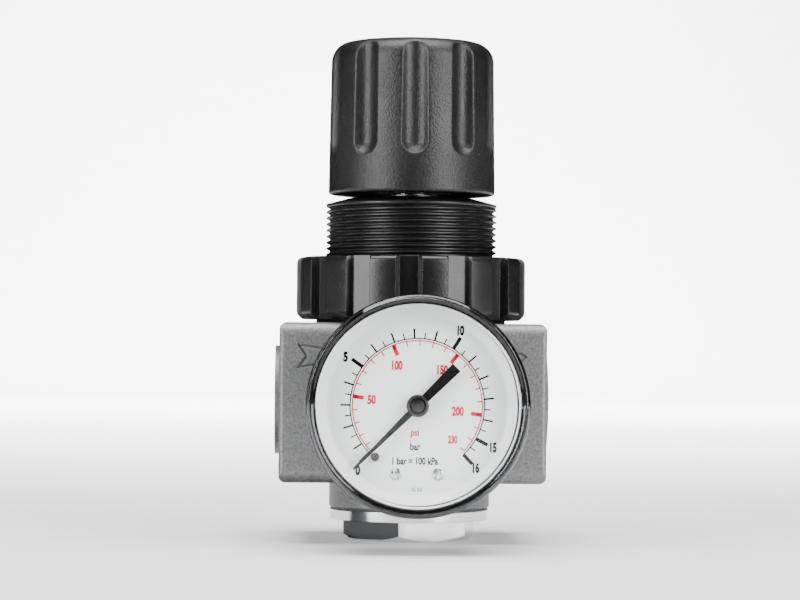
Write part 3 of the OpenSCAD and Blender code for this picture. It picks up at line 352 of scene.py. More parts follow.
def knob_skin():
    """Outline of the outside, from the lower edge to the middle of the domed top."""
    shoulder_x = KNOB_TOP_R - SHOULDER_R
    shoulder_z = KNOB_TOP - shoulder_x ** 2 / 2 / DOME_R - SHOULDER_R
    edge = 0.8 * MM
    turn = np.linspace(0, math.pi / 2, 7)
    low = np.stack([KNOB_R - edge + edge * np.sin(turn), KNOB_Z + edge - edge * np.cos(turn)], 1)
    z = np.linspace(KNOB_Z + edge, shoulder_z, 84)[1:-1]
    share = (z - KNOB_Z) / (shoulder_z - KNOB_Z)
    side = np.stack([KNOB_R + (KNOB_TOP_R - KNOB_R) * share, z], 1)
    turn = np.linspace(0, math.radians(82), 26)
    shoulder = np.stack([shoulder_x + SHOULDER_R * np.cos(turn), shoulder_z + SHOULDER_R * np.sin(turn)], 1)
    r = shoulder[-1, 0] * np.linspace(0.94, 0, 12)
    fade = (r / shoulder[-1, 0]) ** 2
    top = np.stack([r, KNOB_TOP - (KNOB_TOP - shoulder[-1, 1]) * fade], 1)
    return np.vstack([low, side, shoulder, top])


def knob_inside():
    """Outline of the inside, from the axis out and down to the lower edge: the screw's socket, the
    boss round it, the roof and the wall."""
    cavity = KNOB_R - 4.4 * MM
    roof, socket_top = KNOB_TOP - 5 * MM, KNOB_TOP - 11.7 * MM
    boss_low = KNOB_Z + 2.2 * MM
    corners = [(0, socket_top), (SOCKET_R, socket_top), (SOCKET_R, boss_low), (BOSS_R, boss_low),
               (BOSS_R, roof), (cavity, roof), (cavity, KNOB_Z + 0.5 * MM), (cavity + 0.5 * MM, KNOB_Z)]
    return rounded(corners, 0.5 * MM, 4)


angles = around(FLUTES * 46, -math.pi / 2)
skin, inside = knob_skin(), knob_inside()
skin_r = smooth_min(skin[:, :1], flute_distance(angles, skin[:, 1]), 0.7 * MM)
skin_r = np.where(skin[:, :1] < 1e-9, 0, skin_r)
hexagon = 1 / np.cos(angles % (math.pi / 3) - math.pi / 6)
in_socket = (inside[:, :1] > 1e-9) & (inside[:, :1] < 4.6 * MM)
inside_r = np.where(in_socket, inside[:, :1] * hexagon, inside[:, :1] * np.ones_like(angles))
radii = np.vstack([inside_r, skin_r])
heights = np.concatenate([inside[:, 1], skin[:, 1]])
points = revolved(radii, heights, angles).reshape(-1, 3)
knob = finish_mesh("knob_shell", points, grid_faces(len(heights), len(angles), False, True),
                   knob_nylon, "knob", sharp=50)
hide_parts("knob")
print("knob:", len(knob.data.polygons), "faces")

# %% [markdown]
# ## The castellated ring nut
# Fourteen ribs give a hook spanner or fingers their grip. The recesses run from top to bottom, with
# a flat floor and walls that flare a little, because a moulding needs draft to leave its mould. A
# smooth step in the angle carries the radius from floor to rib.

# %% Ring nut
def smooth_step(t):
    """0 below 0, 1 above 1, and the cubic 3t^2 - 2t^3 between."""
    t = np.clip(t, 0, 1)
    return t * t * (3 - 2 * t)


nut_low, nut_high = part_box("panel_ring_nut")
NUT_R = (nut_high[0] - nut_low[0]) / 2
NUT_RIBS = 14
NUT_BORE = 21.05 * MM
RECESS_R = NUT_R - 2.2 * MM
nut_angles = around(NUT_RIBS * 36, -math.pi / 2 - math.radians(3))
pitch = 2 * math.pi / NUT_RIBS
off = np.abs((nut_angles - nut_angles[0] + pitch / 2) % pitch - pitch / 2)
floor = RECESS_R / np.cos(np.minimum(off, math.radians(6)))
rise = smooth_step((off - math.radians(5.0)) / math.radians(1.5))
recess = floor + (NUT_R + 0.6 * MM - floor) * rise
z0, z1 = nut_low[2], nut_high[2]
outside = rounded([(NUT_BORE + 1 * MM, z0), (NUT_R - 1.4 * MM, z0), (NUT_R - 0.05 * MM, z0 + 1.4 * MM),
                   (NUT_R - 0.05 * MM, z1), (NUT_BORE + 0.6 * MM, z1)],
                  [0, 0.7 * MM, 0.7 * MM, 1.7 * MM, 0], 9)
side = np.linspace(0, 1, 12)[1:-1, None]
gap = np.argmax(np.diff(outside[:, 1]))
outside = np.vstack([outside[:gap + 1], outside[gap] + side * (outside[gap + 1] - outside[gap]),
                     outside[gap + 1:]])
bore = np.array([(NUT_BORE, z1 - 0.6 * MM), (NUT_BORE, z0 + 1 * MM)])
outline = np.vstack([outside, bore])
nut_r = smooth_min(outline[:, :1], recess, 0.5 * MM)
nut_r = np.where(outline[:, :1] < RECESS_R - 0.5 * MM, outline[:, :1], nut_r)
points = revolved(nut_r, outline[:, 1], nut_angles).reshape(-1, 3)
ring_nut = finish_mesh("ring_nut_shell", points, grid_faces(len(outline), len(nut_angles), True, True),
                       nut_nylon, "ring_nut", sharp=50)
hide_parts("panel_ring_nut")
print("ring nut:", len(ring_nut.data.polygons), "faces")

# %% [markdown]
# ## The threaded bonnet
# The thread is real: the radius depends on height minus turn, so the grooves climb by one pitch for
# each turn. Counting the height in pitches and taking away the turn gives a number whose fraction
# says where a point lies between one crest and the next. A thread's ends fade out, as they do where
# a mould parts.

# %% Bonnet
bonnet_low, bonnet_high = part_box("bonnet")
THREAD_R = (bonnet_high[0] - bonnet_low[0]) / 2
THREAD_PITCH = 1.5 * MM
THREAD_DEPTH = 0.86 * MM
BLOCK_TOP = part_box("ring_washer")[0][2]
THREAD_TOP = BLOCK_TOP + 29.2 * MM
ROOF = bonnet_high[2] - 4.7 * MM
thread_angles = around(216)


def thread_groove(angles, heights):
    """Depth of a right-hand 60-degree thread below its crests, with flat crests and roots."""
    share = (heights[:, None] / THREAD_PITCH - angles / (2 * math.pi)) % 1
    ridge = np.abs(2 * share - 1)
    form = 1 - np.clip((ridge - 0.22) / 0.6, 0, 1)
    start = smooth_step((heights - BLOCK_TOP - 0.6 * MM) / (1.2 * MM))[:, None]
    end = smooth_step((THREAD_TOP - 0.3 * MM - heights) / (0.9 * MM))[:, None]
    return THREAD_DEPTH * form * start * end


thread_z = np.linspace(BLOCK_TOP, THREAD_TOP, 196)
thread_r = THREAD_R - thread_groove(thread_angles, thread_z)
SPIGOT_R, MOUTH_R, BORE_R = 17.95 * MM, 15.1 * MM, 17 * MM
JOURNAL_R = 5.05 * MM
neck = rounded([(THREAD_R, THREAD_TOP), (15.5 * MM, bonnet_high[2]), (JOURNAL_R, bonnet_high[2]),
                (JOURNAL_R, ROOF), (BORE_R, ROOF)], [0, 0.5 * MM, 0.3 * MM, 0.3 * MM, 0], 4)[1:]
rib_z = BLOCK_TOP + 4 * MM
rib = np.where(np.abs(THREAD_R * np.sin(thread_angles)) < 2.0 * MM, 15 * MM, BORE_R) * np.ones((2, 1))
lower = np.array([(BORE_R, rib_z - 0.01 * MM), (BORE_R, BLOCK_TOP), (MOUTH_R, BLOCK_TOP - 0.1 * MM),
                  (MOUTH_R, bonnet_low[2]), (SPIGOT_R, bonnet_low[2]), (SPIGOT_R, BLOCK_TOP)])
ones = np.ones_like(thread_angles)
radii = np.vstack([thread_r, neck[:, :1] * ones, rib, lower[:, :1] * ones])
heights = np.concatenate([thread_z, neck[:, 1], [ROOF - 0.01 * MM, rib_z], lower[:, 1]])
points = revolved(radii, heights, thread_angles).reshape(-1, 3)
bonnet = finish_mesh("bonnet_shell", points, grid_faces(len(heights), len(thread_angles), True, True),
                     bonnet_nylon, "valve", sharp=35)
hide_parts("bonnet")
thread_turns = round((THREAD_TOP - BLOCK_TOP) / THREAD_PITCH, 1)
print("bonnet:", len(bonnet.data.polygons), "faces,", thread_turns, "turns")

# %% [markdown]
# ## The gauge's lens
# The lens is one clear moulding: a thin front, a bevelled rim and a skirt that grips the case. It
# is turned from a closed outline. Clear plastic throws hardly any shadow, so the material lets
# shadow rays straight through, and the dial below stays bright. The thick rim sits on the black
# case and carries no light from behind, so beyond a radius from the gauge's axis its colour turns
# dark grey: painted shade.

# %% Lens
lens_low, lens_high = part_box("gauge_lens")
LENS_R = (lens_high[0] - lens_low[0]) / 2
LENS_FRONT = GAUGE_Y - lens_low[1]
LENS_BACK = GAUGE_Y - lens_high[1]
LENS_T = 1.5 * MM
SKIRT = 0.9 * MM
lens_outline = rounded([
    (0, LENS_FRONT), (LENS_R - 2.6 * MM, LENS_FRONT - 0.1 * MM), (LENS_R - 1.9 * MM, LENS_FRONT - 0.5 * MM),
    (LENS_R - 1.2 * MM, LENS_FRONT - 0.1 * MM), (LENS_R - 0.7 * MM, LENS_FRONT - 0.1 * MM),
    (LENS_R, LENS_FRONT - 0.9 * MM), (LENS_R, LENS_BACK), (LENS_R - SKIRT, LENS_BACK),
    (LENS_R - SKIRT, LENS_FRONT - LENS_T), (0, LENS_FRONT - LENS_T)],
    [0, 0.3 * MM, 0.3 * MM, 0.3 * MM, 0.3 * MM, 0.5 * MM, 0.2 * MM, 0.2 * MM, 0.2 * MM, 0], 6)
clear_plastic = bpy.data.materials.new("clear_plastic")
clear_plastic.use_nodes = True
nodes, links = clear_plastic.node_tree.nodes, clear_plastic.node_tree.links
shader = nodes["Principled BSDF"]
shader.inputs["Roughness"].default_value = 0.02
shader.inputs["IOR"].default_value = 1.49
shader.inputs["Transmission Weight"].default_value = 1
waves = nodes.new("ShaderNodeTexNoise")
waves.inputs["Scale"].default_value = 90
ripple = nodes.new("ShaderNodeBump")
ripple.inputs["Strength"].default_value = 0.02
ripple.inputs["Distance"].default_value = 0.0005
place = nodes.new("ShaderNodeTexCoord")
links.new(place.outputs["Object"], waves.inputs["Vector"])
links.new(waves.outputs["Fac"], ripple.inputs["Height"])
links.new(ripple.outputs["Normal"], shader.inputs["Normal"])
centre = nodes.new("ShaderNodeVectorMath")
centre.operation = "SUBTRACT"
centre.inputs[1].default_value = (0, 0, GAUGE_Z)
across = nodes.new("ShaderNodeVectorMath")
across.operation = "MULTIPLY"
across.inputs[1].default_value = (1, 0, 1)
radius = nodes.new("ShaderNodeVectorMath")
radius.operation = "LENGTH"
# Painted shade: beyond this radius the clear lens's base colour turns dark grey, where the thick rim sits
# on the black case.
rim = nodes.new("ShaderNodeMapRange")
rim.inputs["From Min"].default_value = LENS_R - 2.5 * MM
rim.inputs["From Max"].default_value = LENS_R - 2.1 * MM
painted_rim_shade = nodes.new("ShaderNodeMix")
painted_rim_shade.data_type = "RGBA"
painted_rim_shade.inputs["A"].default_value = (0.97, 0.98, 0.985, 1)
painted_rim_shade.inputs["B"].default_value = (0.12, 0.123, 0.13, 1)
links.new(place.outputs["Object"], centre.inputs[0])
links.new(centre.outputs["Vector"], across.inputs[0])
links.new(across.outputs["Vector"], radius.inputs[0])
links.new(radius.outputs["Value"], rim.inputs["Value"])
links.new(rim.outputs["Result"], painted_rim_shade.inputs["Factor"])
links.new(painted_rim_shade.outputs["Result"], shader.inputs["Base Color"])
ray = nodes.new("ShaderNodeLightPath")
through = nodes.new("ShaderNodeBsdfTransparent")
choose = nodes.new("ShaderNodeMixShader")
links.new(ray.outputs["Is Shadow Ray"], choose.inputs["Fac"])
links.new(shader.outputs["BSDF"], choose.inputs[1])
links.new(through.outputs["BSDF"], choose.inputs[2])
links.new(choose.outputs["Shader"], nodes["Material Output"].inputs["Surface"])
lens = lathe("lens_shell", lens_outline, clear_plastic, "valve", 192, on_gauge, sharp=60)
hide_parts("gauge_lens")

# %% [markdown]
# ## The dial
# The dial is an enamelled plate whose edge turns up against the case. Its print is laid on as very
# thin raised ink, so that it needs no picture and stays sharp at any distance. Marks are placed by
# angle: one bar is a fixed share of the scale, and the first bar is squeezed, as on the real dial.

# %% Dial plate
DIAL_FACE = GAUGE_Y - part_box("pointer_stop_pin")[1][1]
dial_low, dial_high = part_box("dial")
DIAL_R = (dial_high[0] - dial_low[0]) / 2
DIAL_T, DIAL_RISE, DIAL_FLAT = 0.4 * MM, 1.4 * MM, 20.8 * MM
HOLE_R = 1.6 * MM
EDGE_EASE = 0.5 * MM
face = DIAL_FACE
dial_outline = rounded([
    (HOLE_R, face), (DIAL_FLAT, face), (DIAL_R, face + DIAL_RISE), (DIAL_R, face + DIAL_RISE - DIAL_T),
    (DIAL_FLAT, face - DIAL_T), (HOLE_R, face - DIAL_T)],
    [0, EDGE_EASE, 0.1 * MM, 0.1 * MM, EDGE_EASE, 0], 8)
dial = lathe("dial_plate", dial_outline, dial_enamel, "valve", 160, on_gauge, closed=True, sharp=60)
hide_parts("dial")


# %% Print
INK = 0.02 * MM
ZERO_ANGLE = -135.0
ONE_BAR = -124.6
FULL_SCALE = 16
FULL_ANGLE = 136.3
PSI_PER_BAR = 14.504


def scale_angle(bar):
    """Angle from straight up, clockwise in degrees, of a pressure in bar."""
    bar = np.asarray(bar, float)
    upper = ONE_BAR + (bar - 1) * (FULL_ANGLE - ONE_BAR) / (FULL_SCALE - 1)
    return np.where(bar < 1, ZERO_ANGLE + bar * (ONE_BAR - ZERO_ANGLE), upper)


def enamel_height(x, y):
    """Height of the enamel under a point: flat, then climbing straight to the dial's rim."""
    beyond = np.clip(np.hypot(x, y) - DIAL_FLAT + EDGE_EASE / 2, 0, None)
    return DIAL_FACE + beyond * DIAL_RISE / (DIAL_R - DIAL_FLAT)


def boxes(corners):
    """Vertices and faces of one thin slab for each four-cornered mark (marks, 4, 2)."""
    corners = np.asarray(corners, float)
    count = len(corners)
    flat = enamel_height(corners[..., :1], corners[..., 1:])
    low = np.concatenate([corners, flat], -1)
    high = np.concatenate([corners, flat + INK], -1)
    verts = np.concatenate([low, high], 1).reshape(-1, 3)
    one = np.array([(3, 2, 1, 0), (4, 5, 6, 7), (0, 1, 5, 4), (1, 2, 6, 5), (2, 3, 7, 6), (3, 0, 4, 7)])
    faces = (one[None] + 8 * np.arange(count)[:, None, None]).reshape(-1, 4)
    return verts, faces


def radial_marks(bars, inner, outer, width):
    """Four-cornered marks that point at the axis, from the inner to the outer radius."""
    a = np.radians(scale_angle(bars))
    out = np.stack([np.sin(a), np.cos(a)], -1)[:, None]
    aside = np.stack([out[..., 1], -out[..., 0]], -1)
    r = np.array([inner, outer, outer, inner])[None, :, None]
    w = np.array([-1, -1, 1, 1])[None, :, None] * width / 2
    return out * r + aside * w


def arc_marks(start, stop, inner, outer, steps=150):
    """An arc as neighbouring four-cornered marks; the angles are in degrees, clockwise from up."""
    a = np.radians(np.linspace(start, stop, steps + 1))
    rim = [np.stack([np.sin(a) * r, np.cos(a) * r], -1) for r in (inner, outer)]
    return np.stack([rim[0][:-1], rim[1][:-1], rim[1][1:], rim[0][1:]], 1)


def lettering(entries):
    """Vertices and faces of upright figures: (text, x, y, height, squeeze) in millimetres, each
    centred on its place and narrowed by the squeeze."""
    verts, faces, base = [], [], 0
    for text, x, y, height, squeeze in entries:
        curve = bpy.data.curves.new("figure", "FONT")
        curve.body = text
        curve.extrude = 0.5
        curve.resolution_u = 3
        curve.offset = 0.06 if text.isdigit() else 0.035
        holder = bpy.data.objects.new("figure", curve)
        bpy.context.scene.collection.objects.link(holder)
        bpy.context.view_layer.update()
        mesh = bpy.data.meshes.new_from_object(holder)
        p = np.empty(len(mesh.vertices) * 3)
        mesh.vertices.foreach_get("co", p)
        p = p.reshape(-1, 3)
        middle = (p.min(0) + p.max(0)) / 2
        size = height * MM / (0.73 if text[0].isdigit() else 0.98)
        p = (p - middle) * [size * squeeze, size, INK] + [x * MM, y * MM, INK / 2]
        p[:, 2] += enamel_height(p[:, 0], p[:, 1])
        verts.append(p)
        faces += [[v + base for v in poly.vertices] for poly in mesh.polygons]
        base += len(p)
        bpy.data.objects.remove(holder)
        bpy.data.meshes.remove(mesh)
    return np.vstack(verts), faces


def printed(name, marks, entries, ink):
    """One piece of print: marks and figures in one ink."""
    verts, faces = boxes(np.vstack(marks))
    more_verts, more_faces = lettering(entries)
    faces = faces.tolist() + [[v + len(verts) for v in face] for face in more_faces]
    mesh = bpy.data.meshes.new(name)
    mesh.from_pydata(on_gauge(np.vstack([verts, more_verts])).tolist(), [], faces)
    mesh.materials.append(ink)
    piece = bpy.data.objects.new(name, mesh)
    bpy.context.scene.collection.objects.link(piece)
    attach(piece, "valve")
    return piece


def polar(angle, radius):
    """x and y in millimetres of a place at an angle clockwise from up."""
    return radius * math.sin(math.radians(angle)), radius * math.cos(math.radians(angle))


halves = np.arange(1.5, FULL_SCALE, 1)
wholes = np.array([b for b in range(1, FULL_SCALE + 1) if b % 5])
fives = np.array([0, 5, 10, 15, 16])
black_marks = [
    arc_marks(ZERO_ANGLE, FULL_ANGLE, 15.28 * MM, 15.56 * MM),
    radial_marks(halves, 15.4 * MM, 16.8 * MM, 0.3 * MM),
    radial_marks(wholes, 15.4 * MM, 17.7 * MM, 0.42 * MM),
    radial_marks(fives, 15.4 * MM, 18.45 * MM, 0.85 * MM)]
black_figures = [
    ("0", *polar(-137.7, 20.1), 2.1, 0.72), ("5", *polar(-56.2, 19.9), 2.1, 0.72),
    ("10", *polar(29.5, 19.9), 2.1, 0.62), ("15", *polar(118.4, 19.9), 2.1, 0.62),
    ("16", *polar(136.2, 19.6), 2.1, 0.62), ("bar", -0.4, -9.4, 2.2, 0.8),
    ("1 bar = 100 kPa", -0.4, -12.7, 1.65, 0.74), ("CL 2.5", 0, -19.2, 1.1, 0.8)]
tens = np.arange(10, 231, 10) / PSI_PER_BAR
fifties = np.array([50, 100, 150, 200]) / PSI_PER_BAR
red_marks = [
    arc_marks(ZERO_ANGLE, float(scale_angle(230 / PSI_PER_BAR)), 14.76 * MM, 15.04 * MM),
    radial_marks(tens, 13.7 * MM, 14.9 * MM, 0.3 * MM),
    radial_marks(fifties, 12.4 * MM, 14.9 * MM, 0.95 * MM)]
red_figures = [("50", -10.5, 1.3, 2.0, 0.7), ("100", -4.7, 9.2, 2.0, 0.66), ("150", 5.7, 8.3, 2.0, 0.66),
               ("200", 9.3, -1.2, 2.0, 0.66), ("230", 8.15, -7.7, 1.7, 0.62), ("psi", -0.5, -6.4, 2.2, 0.8)]
black_ink = printed("dial_print_black", black_marks, black_figures, black_print)
red_ink = printed("dial_print_red", red_marks, red_figures, red_print)
print("print faces:", len(black_ink.data.polygons), len(red_ink.data.polygons))

# %% [markdown]
# ## Screws, pointer and its cap
# The pointer is stamped from thin sheet, broad at the tail and fine at the tip. Its outline is swept
# into a thin plate with slightly domed edges. A turned metal cap with a groove holds it, and each
# of the cap's faces takes its material from how far it lies from the axis: the groove's faces get
# the pointer's black paint as painted shade.

# %% Pointer
pointer_low, pointer_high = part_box("pointer")
POINTER_Z0, POINTER_Z1 = GAUGE_Y - pointer_high[1], GAUGE_Y - pointer_low[1]
ZERO_DIRECTION = math.radians(225)


def pointer_plate():
    """Rows run from tail to tip; each row is a closed ring round the plate's section, whose half
    width follows the tail's and the needle's taper and swells into the hub."""
    x = np.concatenate([np.linspace(-12.5, -2.6, 10), np.linspace(-2.5, 2.5, 21),
                        np.linspace(2.6, 21, 20)]) * MM
    tail = np.interp(x, [-12.5 * MM, 0], [1.25 * MM, 0.95 * MM])
    needle = np.interp(x, [0, 20.7 * MM, 21 * MM], [0.85 * MM, 0.25 * MM, 0.03 * MM])
    hub = np.sqrt(np.clip((2.3 * MM) ** 2 - x ** 2, 0, None))
    half = np.maximum(np.where(x < 0, tail, needle), hub)
    ease = 0.06 * MM
    y = np.stack([half - ease, half, half, half - ease, ease - half, -half, -half, ease - half], 1)
    z = np.array([POINTER_Z0, POINTER_Z0 + ease, POINTER_Z1 - ease, POINTER_Z1,
                  POINTER_Z1, POINTER_Z1 - ease, POINTER_Z0 + ease, POINTER_Z0])
    c, s = math.cos(ZERO_DIRECTION), math.sin(ZERO_DIRECTION)
    xx = np.broadcast_to(x[:, None], y.shape)
    return np.stack([xx * c - y * s, xx * s + y * c, np.broadcast_to(z, y.shape)], -1)


plate = pointer_plate()
faces = grid_faces(plate.shape[0], 8, False, True).tolist()
faces += [list(range(8)), list(range((plate.shape[0] - 1) * 8, plate.shape[0] * 8))]
pointer = finish_mesh("pointer_plate", on_gauge(plate.reshape(-1, 3)), faces, pointer_paint, "pointer", 30)
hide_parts("pointer")

screw_low, screw_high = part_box("dial_screws")
HEAD_R, HEAD_FACE = 1.4 * MM, GAUGE_Y - screw_low[1]
DOME_ROWS, SCREW_ROWS, SCREW_SIDES = 18, 21, 48


def slotted_screw(x, slot_turn):
    """Points of one round-head screw: rings of a dome, its rim and its shank, with a slot pressed
    across the dome wherever a point is nearer to the slot's middle line than half its width."""
    r = HEAD_R * np.concatenate([[0, 0], np.linspace(0.1, 1, 16), [1, 0.54, 0.54, 0]])
    shank = HEAD_FACE - 0.5 * MM
    z = HEAD_FACE - 0.26 * MM * np.concatenate([[0, 0], np.linspace(0.1, 1, 16) ** 2, np.zeros(4)])
    z[-4:] = [shank, shank, shank - 0.9 * MM, shank - 0.9 * MM]
    turn = around(SCREW_SIDES)
    off = np.abs(r[:, None] * np.sin(turn - slot_turn))
    cut = (1 - smooth_step((off - 0.17 * MM) / (0.08 * MM))) * 0.22 * MM
    cut[DOME_ROWS:] = 0
    xx = x + r[:, None] * np.cos(turn)
    yy = (screw_low[2] + screw_high[2]) / 2 - GAUGE_Z + r[:, None] * np.sin(turn)
    return on_gauge(np.stack([xx, yy, z[:, None] - cut], -1)[1:]).reshape(-1, 3)


screw_x = screw_high[0] - HEAD_R
screw_grid = grid_faces(SCREW_ROWS, SCREW_SIDES, False, True)
screw_points = np.vstack([slotted_screw(-screw_x, 1.9), slotted_screw(screw_x, 1.2)])
both_grids = np.vstack([screw_grid, screw_grid + SCREW_ROWS * SCREW_SIDES])
screws = finish_mesh("dial_screw_heads", screw_points, both_grids, bright_steel, "valve", 35)
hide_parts("dial_screws")

cap_low, cap_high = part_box("pointer_cap")
CAP_Z0, CAP_Z1 = GAUGE_Y - cap_high[1], GAUGE_Y - cap_low[1]
cap_outline = rounded([
    (0.6 * MM, CAP_Z0), (2.6 * MM, CAP_Z0), (2.6 * MM, CAP_Z1 - 0.5 * MM), (2.25 * MM, CAP_Z1),
    (1.95 * MM, CAP_Z1), (1.75 * MM, CAP_Z0 + 0.55 * MM), (1.5 * MM, CAP_Z0 + 0.55 * MM),
    (1.4 * MM, CAP_Z1 - 0.3 * MM), (0, CAP_Z1 - 0.2 * MM)],
    [0, 0.1 * MM, 0.2 * MM, 0.15 * MM, 0.1 * MM, 0.08 * MM, 0.08 * MM, 0.15 * MM, 0], 5)
cap_outline = np.vstack([cap_outline, [(0, CAP_Z0 + 0.49 * MM), (0.6 * MM, CAP_Z0 + 0.49 * MM)]])
cap = lathe("pointer_cap_turned", cap_outline, dark_steel, "pointer", 64, on_gauge, closed=True, sharp=35)
# Painted shade: the groove's faces get the pointer's black paint, standing in for the shade inside the
# groove.
cap.data.materials.append(pointer_paint)
for face in cap.data.polygons:
    reach = math.hypot(face.center.x, face.center.z - GAUGE_Z)
    face.material_index = int(1.44 * MM < reach < 1.86 * MM)
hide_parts("pointer_cap")

# %% [markdown]
# ## Springs
# A spring is a round wire carried along a helix. The design model's springs have few sides, so finer
# ones replace them here. Like those, they can't shorten.

# %% Springs
def wound_wire(outer_r, wire_r, turns, z0, z1, sides=14, per_turn=48):
    """A wire of circular section along a helix; the first and last three quarters of a turn lie
    flat, as closed ends do. The section's centre moves on the helix radius, and its height eases
    from one end to the other."""
    t = np.linspace(0, 1, int(turns * per_turn) + 1)
    angle = 2 * math.pi * turns * t
    flat = 0.75 / turns
    climb = np.clip((t - flat / 2) / (1 - flat), 0, 1)
    centre_z = z0 + wire_r + (z1 - z0 - 2 * wire_r) * climb
    around_wire = np.arange(sides) * 2 * math.pi / sides
    r = outer_r - wire_r + wire_r * np.cos(around_wire)[None]
    z = centre_z[:, None] + wire_r * np.sin(around_wire)[None]
    verts = np.stack([r * np.cos(angle)[:, None], r * np.sin(angle)[:, None], z], -1).reshape(-1, 3)
    faces = grid_faces(len(t), sides, False, True).tolist()
    faces += [list(range(sides)), list(range((len(t) - 1) * sides, len(t) * sides))]
    return verts, faces


def spring(name, node, wire_d, turns, body):
    """A finer spring in place of a design node, riding on the named body."""
    low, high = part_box(node)
    verts, faces = wound_wire((high[0] - low[0]) / 2, wire_d / 2, turns, low[2], high[2])
    piece = finish_mesh(name, verts, faces, spring_wire, body, 60)
    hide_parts(node)
    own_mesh(piece)
    return piece


spring("main_spring_wire", "main_spring", 2.8 * MM, 4.5, "diaphragm_centre")
spring("poppet_spring_wire", "poppet_spring", 0.9 * MM, 4, "valve")

# %% [markdown]
# ## The diaphragm
# The rubber disc is clamped round its edge and moves with the plate in its middle, so only the narrow
# ring between them bends. Here the disc is turned flat, with extra rings across that narrow ring, and
# rides on no body.

# %% Diaphragm
rubber_low, rubber_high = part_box("diaphragm")
PLATE_R = (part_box("diaphragm_plate")[1][0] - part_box("diaphragm_plate")[0][0]) / 2
NECK_R = 2.9 * MM
CLAMP_R = PLATE_R + 0.6 * MM
DISC_R = (rubber_high[0] - rubber_low[0]) / 2
disc_r = np.concatenate([[NECK_R, PLATE_R], np.linspace(PLATE_R, CLAMP_R, 10)[1:], [DISC_R]])
disc_outline = np.vstack([np.stack([disc_r, np.full_like(disc_r, rubber_low[2])], 1),
                          np.stack([disc_r[::-1], np.full_like(disc_r, rubber_high[2])], 1)])
disc = lathe("diaphragm_disc", disc_outline, black_rubber, None, 96, closed=True, sharp=60)
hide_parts("diaphragm")
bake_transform(disc)
co = np.empty(len(disc.data.vertices) * 3)
disc.data.vertices.foreach_get("co", co)
co = co.reshape(-1, 3)
print("diaphragm bends over", round((CLAMP_R - PLATE_R) / MM, 2), "mm")

# %% [markdown]
# ## Finishes for the design model's own pieces
# The cast body, the plug and the inner works have the right shape already. Each gets a material by
# its name; the eased edges in the shader catch the light where a real edge is broken.

# %% Finishes
FINISHES = {
    cast_metal: ["valve_body"],
    chrome: ["bottom_plug", "rear_port_plug"],
    bonnet_nylon: ["ring_washer"],
    case_plastic: ["gauge_case"],
    brass: ["poppet", "relief_hub", "spring_nut", "gauge_socket", "pinion_arbor", "sector_gear",
            "movement_back_plate", "movement_front_plate", "movement_pillars", "hairspring",
            "bourdon_tube", "tube_tip", "link"],
    steel: ["poppet_stem", "diaphragm_plate", "adjusting_screw", "case_screws",
            "sector_arbor", "link_screw", "movement_screws", "tip_pin"],
    spring_wire: ["screw_clip", "knob_detent_ring"],
    dark_steel: ["pointer_stop_pin"],
    black_rubber: ["bottom_plug_o_ring", "poppet_seal"],
    white_nylon: ["slip_ring", "thrust_washer", "gauge_seal"],
    red_fibre: ["rear_plug_seal"],
}
for material, names in FINISHES.items():
    for name in names:
        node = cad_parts[name]
        node.data.materials.clear()
        node.data.materials.append(material)
print("finished", sum(len(names) for names in FINISHES.values()), "design nodes")

# %% [markdown]
# ## Floor and light
# A pale floor sweeps up behind the valve into a plain backdrop. Tall soft boxes stand left and right,
# so that round black parts show a light flank on each side and stay dark towards the viewer, and a
# large soft panel overhead fills the top faces. Reflections don't show the sweep behind, so the black
# parts keep dark outlines. Three black cards show only in reflections: a wide one flat in front, a low
# upright one at the left and a flat one close beside the valve. They keep the lens clear and give the
# bright plug its dark facet.

# %% Stage
HALF_WIDTH = 1.5


def sheet(name, y, z):
    """A smooth sheet, twice HALF_WIDTH wide, along a profile of y and z."""
    x = np.array([-HALF_WIDTH, HALF_WIDTH])
    points = np.stack([np.broadcast_to(x, (len(y), 2)), np.repeat(y[:, None], 2, 1),
                       np.repeat(z[:, None], 2, 1)], -1)
    mesh = bpy.data.meshes.new(name)
    mesh.from_pydata(points.reshape(-1, 3).tolist(), [], grid_faces(len(y), 2, False, False).tolist())
    mesh.polygons.foreach_set("use_smooth", np.ones(len(mesh.polygons), bool))
    mesh.materials.append(paper)
    piece = bpy.data.objects.new(name, mesh)
    bpy.context.scene.collection.objects.link(piece)
    return piece


paper = surface("paper", (0.93, 0.93, 0.93), (0.95, 0.95, 0.95), 0.8, 0.9, scale=300, depth=0.05)
FRONT_Y, SEAM_Y, REACH, SWEEP_R, SCREEN_TOP = -1.6, 0.3, 1.6, 0.5, 3.0
sheet("floor", np.array([FRONT_Y, SEAM_Y]), np.zeros(2))
turn = np.linspace(0, math.pi / 2, 24)
sweep_y = np.concatenate([[SEAM_Y], REACH + SWEEP_R * np.sin(turn), [REACH + SWEEP_R]])
sweep_z = np.concatenate([[0.0], SWEEP_R - SWEEP_R * np.cos(turn), [SCREEN_TOP]])
sweep = sheet("backdrop", sweep_y, sweep_z)
sweep.visible_glossy = False

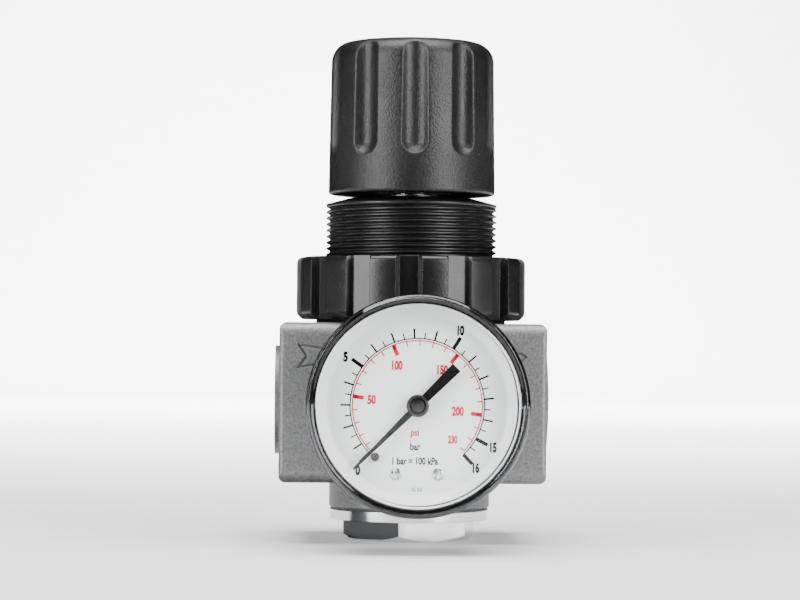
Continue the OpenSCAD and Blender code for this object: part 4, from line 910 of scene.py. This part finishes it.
LIFT = 0.0004  # the flat cards lie this high, clear of the floor
CARD_X, CARD_FRONT, CARD_BACK, CARD_TOP = -0.115, -0.065, -0.003, 0.04
wide_card = [(-0.6, -2.9, LIFT), (0.6, -2.9, LIFT), (0.6, -0.2, LIFT), (-0.6, -0.2, LIFT)]
upright_card = [(CARD_X, CARD_FRONT, 0), (CARD_X, CARD_BACK, 0), (CARD_X, CARD_BACK, CARD_TOP),
                (CARD_X, CARD_FRONT, CARD_TOP)]
near_card = [(CARD_X, CARD_FRONT, LIFT), (-0.003, -0.024, LIFT), (-0.015, -0.004, LIFT),
             (CARD_X, CARD_BACK, LIFT)]
black_cards = bpy.data.meshes.new("black_cards")
black_cards.from_pydata(wide_card + upright_card + near_card, [],
                        [(0, 1, 2, 3), (4, 5, 6, 7), (8, 9, 10, 11)])
cards = bpy.data.objects.new("black_cards", black_cards)
bpy.context.scene.collection.objects.link(cards)
black_cards.materials.append(surface("card", (0.004, 0.004, 0.004), (0.006, 0.006, 0.006), 0.8, 0.9))
cards.visible_camera = cards.visible_diffuse = cards.visible_shadow = cards.visible_transmission = False


def soft_box(name, place, target, width, height, power, beam=180):
    """A rectangular area light at a place, facing a target; a grid narrows its beam, in degrees."""
    data = bpy.data.lights.new(name, "AREA")
    data.shape = "RECTANGLE"
    data.spread = math.radians(beam)
    data.size, data.size_y, data.energy = width, height, power
    light = bpy.data.objects.new(name, data)
    light.location = place
    light.rotation_mode = "QUATERNION"
    light.rotation_quaternion = (Vector(target) - Vector(place)).to_track_quat("-Z", "Y")
    bpy.context.scene.collection.objects.link(light)
    return light


middle = (0, 0, 0.06)
soft_box("left_box", (-0.72, -0.6, 0.22), middle, 0.4, 0.9, 13)
soft_box("right_box", (0.68, -0.66, 0.22), middle, 0.4, 0.9, 13)
soft_box("top_panel", (0, -0.1, 1.0), middle, 1.1, 0.7, 23)
soft_box("backdrop_light", (0, 0.95, 0.85), (0, 1.7, 0.1), 1.3, 0.4, 50, 120)
soft_box("floor_light", (0, 0.55, 0.8), (0, 1.15, 0), 1.4, 0.5, 32, 130)

world = bpy.data.worlds.new("studio")
world.use_nodes = True
sky = world.node_tree.nodes["Background"]
sky.inputs["Color"].default_value = (1, 1, 1, 1)
seen = world.node_tree.nodes.new("ShaderNodeLightPath")
level = world.node_tree.nodes.new("ShaderNodeMapRange")
level.inputs["To Min"].default_value = 0.03
level.inputs["To Max"].default_value = 1.3
world.node_tree.links.new(seen.outputs["Is Camera Ray"], level.inputs["Value"])
world.node_tree.links.new(level.outputs["Result"], sky.inputs["Strength"])
bpy.context.scene.world = world
